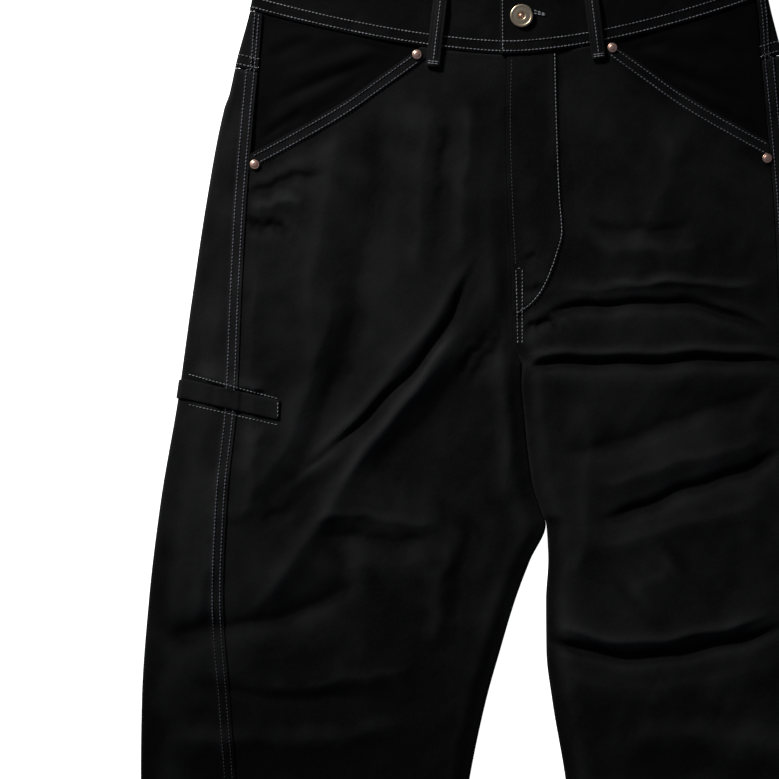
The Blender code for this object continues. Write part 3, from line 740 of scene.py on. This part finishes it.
def band_point(side, path, v, depth=0.0):
    """Points of the band: path 0 to 1 behind, 1 to 2 a half circle at the side, then
    3 - path in shares of the half width in front; v = 0 at the seam, 1 at the top."""
    path, v = np.broadcast_arrays(np.asarray(path, float), np.asarray(v, float))
    end = row(side, np.zeros(1), False)[1][0] - 0.2
    back = path < 1.5
    across = np.where(back, SEAM + path * (end - SEAM), end * (3.0 - path))
    angle = np.pi * np.clip(path - 1.0, 0.0, 1.0)
    turned = (path > 1.0) & (path < 2.0)
    radius = BAND_TURN - depth
    across = np.where(turned, end + radius * np.sin(angle), across)
    over = 2.3 * smooth((58.0 - across) / 28.0) if side == "left" else 0.0
    z = np.where(back, BAND_BASE + depth, BAND_BASE + 2.0 * BAND_TURN - depth + over)
    z = np.where(turned, BAND_BASE + BAND_TURN - radius * np.cos(angle), z)
    share = np.clip(np.abs(across) / end, 0.0, 1.0)
    lean = 0.2 * share
    size = BAND_HEIGHT * v / np.hypot(1.0, lean)
    other = "left" if side == "right" else "right"
    y = np.where(across < 0.0, height(other, share, np.zeros(1), False),
                 height(side, share, np.zeros(1), back))
    return np.stack([SIDES[side]["sign"] * (across - size * lean), y + size + 0.1, z],
                    axis=-1)


def band_path(side, across):
    """Path number of a place on the front of the band."""
    return 3.0 - across / (row(side, np.zeros(1), False)[1][0] - 0.2)


for side in SIDES:
    front_end = -26.0 if side == "right" else -8.0
    last = band_path(side, front_end)
    path = np.concatenate([np.linspace(0.0, 1.0, 60), 1.0 + np.arange(1, 10) / 10.0,
                           np.linspace(2.0, last, 110)])[None, :]
    v = np.array([0.0, 0.01, 0.03] + list(np.linspace(0.08, 0.92, 18))
                 + [0.97, 0.99, 1.0])[:, None]
    outside = band_point(side, path, v)
    inside = band_point(side, path, v, BAND_WALL)
    x, y = outside[..., 0], outside[..., 1]
    inset = smooth(v / 0.3) * smooth((1.0 - v) / 0.2)
    ends = smooth((last - path) / 0.06)
    swell = rumple(1.3 * x, -1.3 * y + 900.0) * inset * ends * 0.8
    ropes = 0.16 * np.sin(x / 1.9 + 3.0 * np.sin(x / 23.0)) * np.exp(-((v - 0.1) / 0.08) ** 2)
    rounded = -0.5 * (1.0 - smooth(v / 0.03) * smooth((1.0 - v) / 0.03))
    outside[..., 2] += np.where(path > 2.0, swell + ropes, 0.0) * ends
    outside[..., 2] += np.where(path > 2.0, rounded, np.where(path < 1.0, -rounded, 0.0))
    piece = cloth("waist_band_" + side, outside, inside, TWILL, -0.2 + 0.0 * x)
    sewn_cloth(piece, "waistband_" + side)


# Tool pocket welt
# A turned strip of twill at the mouth of the side pocket on the right leg.  It rises where
# it crosses the felled side seam, and is stitched above, below and at its inner end.

WELT_RIGHT = 183.8
WELT_RUN = 78.6
WELT_TOP = (276.5, 258.6)
WELT_HEIGHT = 15.2


def welt_drop(across, v):
    """Row of a point of the welt: its top edge, which slants from the first WELT_TOP to
    the second in its run outwards, plus its height times v."""
    share = (np.clip(across, 0.0, 259.0) - WELT_RIGHT) * (WELT_TOP[1] - WELT_TOP[0])
    return WELT_TOP[0] + share / WELT_RUN + WELT_HEIGHT * v


places = np.linspace(WELT_RIGHT, 258.0, 60)
top = welt_drop(places, 0.0)
ring = np.concatenate([ring_at("right", places, top), [1.0, 1.1, 1.2, 1.3, 1.4, 1.5, 1.6,
                                                       1.7]])
v = np.concatenate([[0.0, 0.03, 0.08], np.linspace(0.16, 0.84, 8), [0.92, 0.97, 1.0]])[:, None]
drops = np.concatenate([top, np.full(8, top[-1])])[None, :] + WELT_HEIGHT * v
seam = ring_at("right", seam_line("right", drops), drops)
over = 1.15 * smooth((ring - seam) / 0.012 + 1.0) * smooth((seam + 0.075 - ring) / 0.02)
ring = np.broadcast_to(ring, drops.shape)
crown = 0.35 * smooth(v / 0.08) * smooth((1.0 - v) / 0.08)
outside = surface("right", ring, drops, -CLEAR - 0.9 - over - crown)
inside = surface("right", ring, drops, -CLEAR - over)
piece = cloth("tool_pocket_mouth", outside, inside, TWILL, 0.25 + 0.0 * drops)
sewn_cloth(piece, "tool_pocket_welt")


# Back pockets
# Patch pockets sewn on the back panels; the garment lies on them, and their outer edges
# come up round the side edge.

PATCH_TOP = 74.0
PATCH_END = 200.0
PATCH_RING = 2.68


def patch_tip(ring):
    """Extra length of a pocket: 12 mm in its middle, falling straight to 0 at its sides."""
    half = 0.5 * (PATCH_RING - 2.0)
    place = np.clip(ring - 2.0, 0.0, PATCH_RING - 2.0)
    return 12.0 * (1.0 - np.abs(place - half) / half)


for side in SIDES:
    ring = np.concatenate([[1.8, 1.87, 1.94], np.linspace(2.0, PATCH_RING, 26)])[None, :]
    drops = np.linspace(PATCH_TOP, PATCH_END, 40)[:, None]
    tip = patch_tip(ring)
    drops = drops + tip * (drops - PATCH_TOP) / (PATCH_END - PATCH_TOP)
    edge = np.minimum(smooth((drops - PATCH_TOP) / 1.6),
                      smooth((PATCH_END + tip - drops) / 1.6))
    edge = np.minimum(edge, smooth((PATCH_RING - ring) / 0.01))
    outside = surface(side, ring, drops, -CLEAR - 0.75 - 0.4 * edge)
    inside = surface(side, ring, drops, -CLEAR)
    piece = cloth("seat_pocket_" + side, outside, inside, TWILL)
    sewn_cloth(piece, "back_pocket_" + side)


# Belt loops
# Strips folded in three and stitched along the middle, tacked below the waist seam and at
# the top of the band.  Those in front bow up a little; those behind are pressed flat.

BAND_TOP = BAND_HEIGHT - 0.5
LOOPS = {
    # x and y of the lower end, x and y of the upper end, bowed up
    "belt_loop_front_right": ((-62.0, -10.0), (-54.0, BAND_TOP + 4.0), True),
    "belt_loop_front_left": ((71.0, -4.0), (62.5, BAND_TOP + 7.0), True),
    "belt_loop_back_right": ((-120.0, BACK_RISE - 24.0), (-116.0, BACK_RISE + 44.0), False),
    "belt_loop_back_left": ((120.0, BACK_RISE - 21.0), (116.0, BACK_RISE + 47.0), False),
    "belt_loop_back_centre": ((0.0, BACK_RISE - 13.0), (0.0, BACK_RISE + 54.5), False),
}


LOOP_BASE = 8.05


def loop_bow(share):
    """Rise of a front loop off the band: 1.6 mm times a sine to the 1.5."""
    return 1.6 * np.sin(np.pi * np.clip((share - 0.1) / 0.9, 0.0, 1.0)) ** 1.5


def loop_point(name, share, sideways):
    """Top of a loop: a straight run in plan, bowed along it, with a flat ridge of 0.45 mm
    down its middle; sideways runs from -1 to 1 over 11.4 mm."""
    low, high, bowed = LOOPS[name]
    low, high = np.array(low), np.array(high)
    run = (high - low) / np.hypot(*(high - low))
    xy = low + share[..., None] * (high - low)
    xy = xy + sideways[..., None] * np.array([run[1], -run[0]]) * 5.7
    if not bowed:
        return np.concatenate([xy, np.full(share.shape + (1,), 0.05)], axis=-1)
    ridge = 0.45 * smooth((0.55 - np.abs(sideways)) / 0.2)
    edge = -0.4 * smooth((np.abs(sideways) - 0.85) / 0.15)
    z = LOOP_BASE + loop_bow(share) + 1.5 + ridge + edge
    return np.concatenate([xy, z[..., None]], axis=-1)


for name, (low, high, bowed) in LOOPS.items():
    share, sideways = np.meshgrid(np.linspace(0.0, 1.0, 56), np.linspace(-1.0, 1.0, 25),
                                  indexing="ij")
    outside = loop_point(name, share, sideways)
    inside = outside.copy()
    inside[..., 2] = LOOP_BASE + loop_bow(share) if bowed else 1.3
    piece = cloth(name.replace("belt_loop", "loop_strip"), outside, inside, TWILL,
                  0.2 + 0.0 * share)
    sewn_cloth(piece, name)


# Sewing
# Lockstitch in thick grey thread, a stitch every 2.9 mm.  Each is a small grain 2.3 to
# 3.4 mm long that dips at both ends; double rows lie 6 to 7 mm apart.

STITCH = 2.9


def thread(name, body, light):
    """Spun polyester core thread: matt, with a twist every 0.35 mm, a little lighter in
    stretches about 11 mm long."""
    material = bpy.data.materials.new(name)
    material.use_nodes = True
    tree = material.node_tree
    shader = tree.nodes["Principled BSDF"]
    shader.inputs["Roughness"].default_value = 0.7
    shader.inputs["Specular IOR Level"].default_value = 0.25
    shader.inputs["Sheen Weight"].default_value = 0.1
    place = add(tree, "ShaderNodeTexCoord").outputs["Object"]
    fade_noise = add(tree, "ShaderNodeTexNoise", [("Vector", place)],
                     [("Scale", 90.0), ("Detail", 3.0)])
    span = add(tree, "ShaderNodeMapRange", [("Value", fade_noise.outputs["Fac"])],
               [("From Min", 0.32), ("From Max", 0.68)])
    mix = add(tree, "ShaderNodeMix", [("Factor", span.outputs[0])], data_type="RGBA")
    mix.inputs["A"].default_value = colour(body)
    mix.inputs["B"].default_value = colour(light)
    tree.links.new(mix.outputs["Result"], shader.inputs["Base Color"])
    twist = add(tree, "ShaderNodeTexWave", [("Vector", place)],
                [("Scale", 900.0), ("Distortion", 1.0)], bands_direction="DIAGONAL")
    bump = add(tree, "ShaderNodeBump", [("Height", twist.outputs["Fac"])],
               [("Strength", 0.35), ("Distance", 0.0002)])
    tree.links.new(bump.outputs[0], shader.inputs["Normal"])
    return material


THREAD = thread("grey_core_spun_thread", "#47474a", "#78787a")
# Two darker copies of the same thread: one on the side seams and slanted pockets, and a darker
# one on the lower side seams, the fly edge and the hems.
DARKER_THREAD = thread("darker_grey_thread", "#313135", "#55555b")
DARKEST_THREAD = thread("darkest_grey_thread", "#1c1c20", "#323238")


def grains(points, upward, length, thick):
    """Place grains evenly along a line: each is five rings of six points whose radius is
    thick/2 times sin to the 0.6, so the ends are blunt, lying along the line."""
    points = np.asarray(points, float)
    reach = np.concatenate([[0.0], np.cumsum(np.linalg.norm(np.diff(points, axis=0), axis=1))])
    count = max(int(reach[-1] / STITCH), 1)
    at = (np.arange(count) + 0.5) * reach[-1] / count

    def found(values, where):
        return np.stack([np.interp(where, reach, values[:, k]) for k in range(3)], axis=1)

    middle = found(points, at)
    way = found(points, at + 0.6) - found(points, at - 0.6)
    way /= np.linalg.norm(way, axis=1, keepdims=True)
    up = found(upward, at)
    up -= way * np.einsum("ij,ij->i", up, way)[:, None]
    up /= np.linalg.norm(up, axis=1, keepdims=True)
    beside = np.cross(way, up)
    t = np.linspace(0.04, 0.96, 5)
    radius = 0.5 * thick * np.sin(np.pi * t) ** 0.6
    angle = np.arange(6) * np.pi / 3.0
    rise = 0.28 * thick * np.sin(np.pi * t) - 0.05
    onward = (t - 0.5) * length
    upright = rise[:, None] + radius[:, None] * np.sin(angle)
    sideways = radius[:, None] * np.cos(angle)
    ring = (middle[:, None, None] + way[:, None, None] * onward[None, :, None, None]
            + up[:, None, None] * upright[None, ..., None]
            + beside[:, None, None] * sideways[None, ..., None])
    base = (np.arange(count) * 30)[:, None, None, None]
    k = (np.arange(4) * 6)[None, :, None, None]
    i = np.arange(6)[None, None, :, None]
    j = (np.arange(6) + 1)[None, None, :, None] % 6
    quads = np.concatenate([base + k + i, base + k + j, base + k + 6 + j, base + k + 6 + i],
                           axis=3).reshape(-1, 4)
    cap = np.array([[0, 5, 4, 3], [0, 3, 2, 1], [24, 25, 26, 27], [24, 27, 28, 29]])
    caps = (base[:, 0, 0, 0][:, None, None] + cap[None]).reshape(-1, 4)
    return ring.reshape(-1, 3), np.concatenate([quads, caps])


def sew(name, rows, material, length=2.55, thick=0.95):
    """One object from many rows of stitches, each row (points, upward directions)."""
    points, faces, count = [], [], 0
    for line, upward in rows:
        made, quads = grains(line, upward, length, thick)
        points.append(made)
        faces.append(quads + count)
        count += len(made)
    piece = lay_mesh(name, np.concatenate(points), np.concatenate(faces), material)
    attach(piece, "root")
    return piece


def on_leg(side, ring, drop, raised=0.0, out=0.12):
    """A line of stitches on a leg: its points and the cloth's normals, found from the
    differences of two neighbouring surface points each way."""
    ring, drop = np.broadcast_arrays(np.asarray(ring, float), np.asarray(drop, float))
    here = surface(side, ring, drop, -out, raised)
    more = surface(side, ring + 0.006, drop, -out, raised)
    less = surface(side, ring, drop + 0.8, -out, raised)
    normal = -np.cross(more - here, less - here) * SIDES[side]["sign"]
    return here, normal / np.linalg.norm(normal, axis=1, keepdims=True)


def at_place(side, across, drop, raised, out=0.12):
    """A line of stitches on the top layer, by its distances across."""
    return on_leg(side, ring_at(side, across, drop), drop, raised, out)


def on_band(side, path, v):
    """A line of stitches on the waistband, with normals as for the legs."""
    path, v = np.broadcast_arrays(np.asarray(path, float), np.asarray(v, float))
    here = band_point(side, path, v, -0.15)
    more = band_point(side, path + 0.004, v, -0.15)
    above = band_point(side, path, v + 0.01, -0.15)
    normal = np.cross(more - here, above - here) * SIDES[side]["sign"]
    return here, -normal / np.linalg.norm(normal, axis=1, keepdims=True)


waist_rows = []
for side in SIDES:
    front_end = -24.5 if side == "right" else -6.5
    hidden = -8.0 if side == "right" else -6.5
    path = np.concatenate([np.linspace(0.0, 1.0, 120), np.linspace(1.05, 1.95, 20),
                           np.linspace(2.0, band_path(side, hidden), 160)])
    waist_rows += [on_band(side, path, 0.045), on_band(side, path, 0.185),
                   on_band(side, path, 0.95)]
waist_rows.append(on_band("left", band_path("left", -6.0), np.linspace(0.05, 0.95, 40)))
sew("stitching_waistband", waist_rows, THREAD)

side_rows, lower_rows = [], []
for side in SIDES:
    for away in (3.0, 9.0):
        for low, high, rows in ((1.5, 452.0, side_rows), (452.0, HEM - 1.5, lower_rows)):
            drop = np.linspace(low, high, 500)
            off = np.where(drop < YOKE_SIDE, np.minimum(away, 6.0), away)
            rows.append(at_place(side, seam_line(side, drop) + off, drop, 0.9))
sew("stitching_side_seams", side_rows, DARKER_THREAD)
sew("stitching_lower_side_seams", lower_rows, DARKEST_THREAD, 2.3, 0.75)

pocket_rows = []
for side in SIDES:
    out, up = SIDES[side]["out"], SIDES[side]["up"]
    across = np.linspace(74.0, 205.0, 300) + out
    for below in (2.6, 9.2):
        edge = along(POCKET, 1, across - out) - up
        down = edge + below / 0.86
        end = seam_line(side, drop_at(side, across, down)) - 1.5
        keep = across < end
        drop = drop_at(side, across[keep], down[keep])
        below_band = drop > 1.5
        pocket_rows.append(at_place(side, across[keep][below_band], drop[below_band], 0.8))
sew("stitching_slant_pockets", pocket_rows, DARKER_THREAD)

down = np.linspace(-3.0, 207.0, 400)
across = along(FLY, 1, down)
drop = drop_at("left", across, down)
keep = (across > 3.5) & (drop > 1.5)
sew("stitching_fly", [at_place("left", across[keep], drop[keep], 1.15)], THREAD, 2.6, 0.8)

crotch_rows = []
down = np.linspace(172.0, 231.0, 120)
for x in (3.2, 9.6):
    across = x + 0.0 * down
    drop = drop_at("left", across, down)
    lift = 1.2 * smooth((214.0 - drop) / 12.0)
    crotch_rows.append(at_place("left", across, drop, lift))
across = np.linspace(3.2, 9.6, 20)
drop = drop_at("left", across, np.full(20, 171.0))
crotch_rows.append(at_place("left", across, drop, 1.2))
sew("stitching_crotch", crotch_rows, THREAD, 2.4, 0.8)

down = np.linspace(4.0, 168.0, 200)
across = along(CENTRE, 1, down) + 1.6
drop = drop_at("left", across, down)
sew("stitching_fly_edge", [at_place("left", across, drop, 1.2)], DARKEST_THREAD, 2.3, 0.6)

back_rows = []
for side in SIDES:
    for away in (3.0, 9.5):
        ring = np.linspace(1.0, 2.995, 300)
        drop = YOKE_SIDE + yoke_dip(ring) - away
        back_rows.append(on_leg(side, ring, drop))
        seam = ring_at(side, seam_line(side, np.full(60, YOKE_SIDE)), np.full(60, YOKE_SIDE))
        ring = np.linspace(seam[0] + 0.003, 1.0, 60)
        lift = 0.9 * smooth((seam[0] + 0.045 - ring) / 0.01)
        back_rows.append(on_leg(side, ring, YOKE_SIDE - away + 0.0 * ring, lift))
    if side == "left":
        for away in (3.0, 9.5):
            drop = np.linspace(2.0, 226.0, 200)
            start, end = row(side, drop, True)
            back_rows.append(on_leg(side, 3.0 - (away - 3.0) / (end - start), drop))
    edge_drop = np.linspace(75.5, 198.5, 160)
    for ring_edge in (2.0, PATCH_RING - 0.008):
        back_rows.append(on_leg(side, ring_edge, edge_drop, 0.0, 1.6))
    for drop_edge in (76.0, 83.0):
        back_rows.append(on_leg(side, np.linspace(1.85, 2.67, 160), drop_edge, 0.0, 1.6))
    ring = np.linspace(1.85, 2.67, 200)
    back_rows.append(on_leg(side, ring, PATCH_END - 2.0 + patch_tip(ring), 0.0, 1.6))
sew("stitching_seat", back_rows, THREAD, 2.4, 0.8)

hem_rows = []
for side in SIDES:
    top_ring = np.linspace(-0.1, 1.0, 200)
    hem_rows.append(on_leg(side, top_ring, HEM - 18.0, 0.6))
    hem_rows.append(on_leg(side, np.linspace(2.0, 3.0, 200), HEM - 18.0, 0.0))
sew("stitching_hems", hem_rows, DARKEST_THREAD, 2.4, 0.8)

welt_rows = []
places = np.linspace(WELT_RIGHT + 1.6, 257.0, 100)
for near, far in ((-0.07, -0.3), (1.3, 1.3)):
    v = near + (far - near) * (places - WELT_RIGHT) / 75.0
    drop = welt_drop(places, v)
    seam = seam_line("right", drop)
    over = 0.9 * smooth((places - seam) / 0.5) * smooth((seam + 10.0 - places) / 1.0)
    made = at_place("right", places, drop, 0.0)
    made[0][:, 2] += over
    welt_rows.append(made)
across = np.full(12, WELT_RIGHT + 1.6)
drop = welt_drop(across, np.linspace(0.1, 0.9, 12))
made = at_place("right", across, drop, 0.0)
made[0][:, 2] += 1.6
welt_rows.append(made)
sew("stitching_tool_pocket", welt_rows, THREAD, 2.4, 0.8)

loop_rows, tack_rows = [], []
for name, (low, high, bowed) in LOOPS.items():
    if bowed:
        share = np.linspace(0.08, 0.98, 100)
        line = loop_point(name, share, 0.0 * share) + (0.0, 0.0, 0.1)
        loop_rows.append((line, np.tile([0.0, 0.0, 1.0], (100, 1))))
        bar = np.linspace(-0.75, 0.75, 60)
        for share in (0.035, 0.06):
            line = loop_point(name, np.full(60, share), bar) + (0.0, 0.0, 0.25)
            tack_rows.append((line, np.tile([0.0, 0.0, 1.0], (60, 1))))
sew("stitching_belt_loops", loop_rows, THREAD, 2.7, 0.8)
sew("bar_tacks", tack_rows, THREAD, 3.4, 1.1)


# Rivets
# Pressed copper caps, 8 mm across, that hold the corners of the slanted pockets.

def turned_piece(name, centre, profile, material, sides=64):
    """Profile rows of (radius, height) carried round an upright axis, closed by a fan at
    each end made of a very small ring."""
    profile = np.array([(0.01, profile[0][1])] + list(profile) + [(0.01, profile[-1][1])])
    angle = np.arange(sides) * 2.0 * np.pi / sides
    points = np.stack([centre[0] + profile[:, :1] * np.cos(angle),
                       centre[1] + profile[:, :1] * np.sin(angle),
                       centre[2] + profile[:, 1:] + 0.0 * angle], axis=-1).reshape(-1, 3)
    k = (np.arange(len(profile) - 1) * sides)[:, None]
    i, j = np.arange(sides)[None, :], (np.arange(sides)[None, :] + 1) % sides
    faces = np.stack([k + i, k + j, k + j + sides, k + i + sides], axis=-1).reshape(-1, 4)
    piece = lay_mesh(name, points, faces, material)
    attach(piece, "root")
    return piece


# Copper-plated brass, tumbled: warm and fairly smooth, with fine scratches and darker
# tarnish, both in patches about 2.4 mm across.
def plated_metal(name, body, tarnish, rough):
    material = bpy.data.materials.new(name)
    material.use_nodes = True
    tree = material.node_tree
    shader = tree.nodes["Principled BSDF"]
    shader.inputs["Metallic"].default_value = 1.0
    place = add(tree, "ShaderNodeTexCoord").outputs["Object"]
    noise = add(tree, "ShaderNodeTexNoise", [("Vector", place)],
                [("Scale", 420.0), ("Detail", 6.0), ("Roughness", 0.65)])
    span = add(tree, "ShaderNodeMapRange", [("Value", noise.outputs["Fac"])],
               [("From Min", 0.38), ("From Max", 0.7)])
    mix = add(tree, "ShaderNodeMix", [("Factor", span.outputs[0])], data_type="RGBA")
    mix.inputs["A"].default_value = colour(body)
    mix.inputs["B"].default_value = colour(tarnish)
    tree.links.new(mix.outputs["Result"], shader.inputs["Base Color"])
    shine = add(tree, "ShaderNodeMapRange", [("Value", noise.outputs["Fac"])],
                [("From Min", 0.3), ("From Max", 0.7), ("To Min", rough - 0.07),
                 ("To Max", rough + 0.12)])
    tree.links.new(shine.outputs[0], shader.inputs["Roughness"])
    bump = add(tree, "ShaderNodeBump", [("Height", noise.outputs["Fac"])],
               [("Strength", 0.15), ("Distance", 0.0002)])
    tree.links.new(bump.outputs[0], shader.inputs["Normal"])
    return material


COPPER = plated_metal("tumbled_copper_plate", "#d9b3a0", "#a87f6c", 0.38)
PANEL_TOP = HIP_LIFT + 2.0 * TURN + 0.8 + CLEAR
RIVETS = {
    # x and y of the middle
    "rivet_right_upper": (-74.5, -0.2),
    "rivet_right_lower": (-204.0, -88.0),
    "rivet_left_upper": (81.5, 5.2),
    "rivet_left_lower": (205.0, -83.0),
}
RIVET_CAP = [(3.0, 0.0), (3.6, 0.1), (3.83, 0.35), (3.8, 0.62), (3.55, 0.85), (3.1, 0.92),
             (2.75, 0.84), (2.5, 0.9), (2.2, 1.12), (1.6, 1.27), (0.8, 1.34)]
for name, (x, y) in RIVETS.items():
    piece = turned_piece(name.replace("rivet", "rivet_cap"), (x, y, PANEL_TOP), RIVET_CAP,
                         COPPER)
    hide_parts(name)


# Button and buttonhole
# A hollow tack button of pale brass: a rounded rim, a flat blank ring and the end of the
# tack in the middle.  Of the buttonhole, the two rows of thick binding stitches that close
# up towards its end show beside the button.

BRASS = plated_metal("pale_brass_plate", "#e2cfae", "#a99372", 0.32)
BUTTON_Z = BAND_BASE + 2.0 * BAND_TURN + 2.3 + CLEAR
RIM = [(6.5, 0.0), (8.4, 0.3), (9.0, 0.8), (9.2, 1.4), (9.05, 2.0), (8.6, 2.4), (8.0, 2.52),
       (7.6, 2.42), (7.3, 2.2), (6.9, 2.14), (5.2, 2.3), (3.8, 2.42), (3.1, 2.34),
       (2.75, 2.0), (2.6, 1.4), (2.4, 1.1)]
piece = turned_piece("tack_button", (8.8, 30.4, BUTTON_Z), RIM, BRASS, 96)
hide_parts("button")

TACK = [(1.5, 1.1), (1.55, 1.7), (1.3, 2.0), (0.8, 2.12)]
piece = turned_piece("tack_end", (8.8, 30.4, BUTTON_Z), TACK, COPPER, 40)

binding = []
for first, last in ((34.8, 31.7), (32.4, 30.7)):  # y beside the button, and at the end
    x = np.linspace(18.6, 28.0, 40)
    y = np.linspace(first, last, 40)
    line = np.stack([x, y, 0.0 * x + BAND_BASE + 2.0 * BAND_TURN + 2.3 + 0.2], axis=1)
    binding.append((line, np.tile([0.0, 0.0, 1.0], (40, 1))))
sew("buttonhole_binding", binding, THREAD, 3.2, 1.2)


# Floor, light and camera
# The garment lies on a smooth white sheet over a light table, lit by a soft spot lamp low
# over its upper left that fades towards the hems, and is seen from straight above.

bpy.ops.mesh.primitive_plane_add(size=6.0, location=(0.0, 0.0, -0.0004))
floor = bpy.context.object
floor.name = "floor"
white = bpy.data.materials.new("white_light_table")
white.use_nodes = True
paper = white.node_tree.nodes["Principled BSDF"]
paper.inputs["Base Color"].default_value = colour("#fbfbfb")
paper.inputs["Roughness"].default_value = 0.95
paper.inputs["Specular IOR Level"].default_value = 0.1
paper.inputs["Emission Color"].default_value = (1.0, 1.0, 1.0, 1.0)
paper.inputs["Emission Strength"].default_value = 1.0
floor.data.materials.append(white)

world = bpy.data.worlds.new("white_surround")
bpy.context.scene.world = world
world.use_nodes = True
world.node_tree.nodes["Background"].inputs["Color"].default_value = (0.82, 0.92, 1.2, 1.0)
world.node_tree.nodes["Background"].inputs["Strength"].default_value = 0.13


def soft_lamp(name, place, target, cone, radius, watts):
    """A soft spot lamp at a place, turned to look at a target, fading to its cone's edge."""
    lamp = bpy.data.lights.new(name, "SPOT")
    lamp.spot_size = np.radians(cone)
    lamp.spot_blend = 1.0
    lamp.shadow_soft_size = radius
    lamp.energy = watts
    holder = bpy.data.objects.new(name, lamp)
    holder.location = place
    way = np.array(target) - np.array(place)
    holder.rotation_euler = (np.arccos(-way[2] / np.linalg.norm(way)), 0.0,
                             np.arctan2(way[1], way[0]) - np.pi / 2.0)
    bpy.context.scene.collection.objects.link(holder)
    return holder


soft_lamp("upper_left_lamp", (-1.4, 1.85, 1.05), (-0.1, 0.24, 0.0), 25.0, 0.2, 450.0)

CAMERA_HEIGHT = 3.2
SEEN_WIDTH = 0.6232
SENSOR = 36.0
camera = bpy.data.cameras.new("camera_above")
camera.sensor_width = SENSOR
camera.lens = SENSOR * CAMERA_HEIGHT / SEEN_WIDTH
holder = bpy.data.objects.new("camera_above", camera)
holder.location = (-0.0964, (-267.6 - MIDDLE_Y) / 1000.0, CAMERA_HEIGHT)
bpy.context.scene.collection.objects.link(holder)
bpy.context.scene.camera = holder
bpy.context.scene.view_settings.view_transform = "Standard"
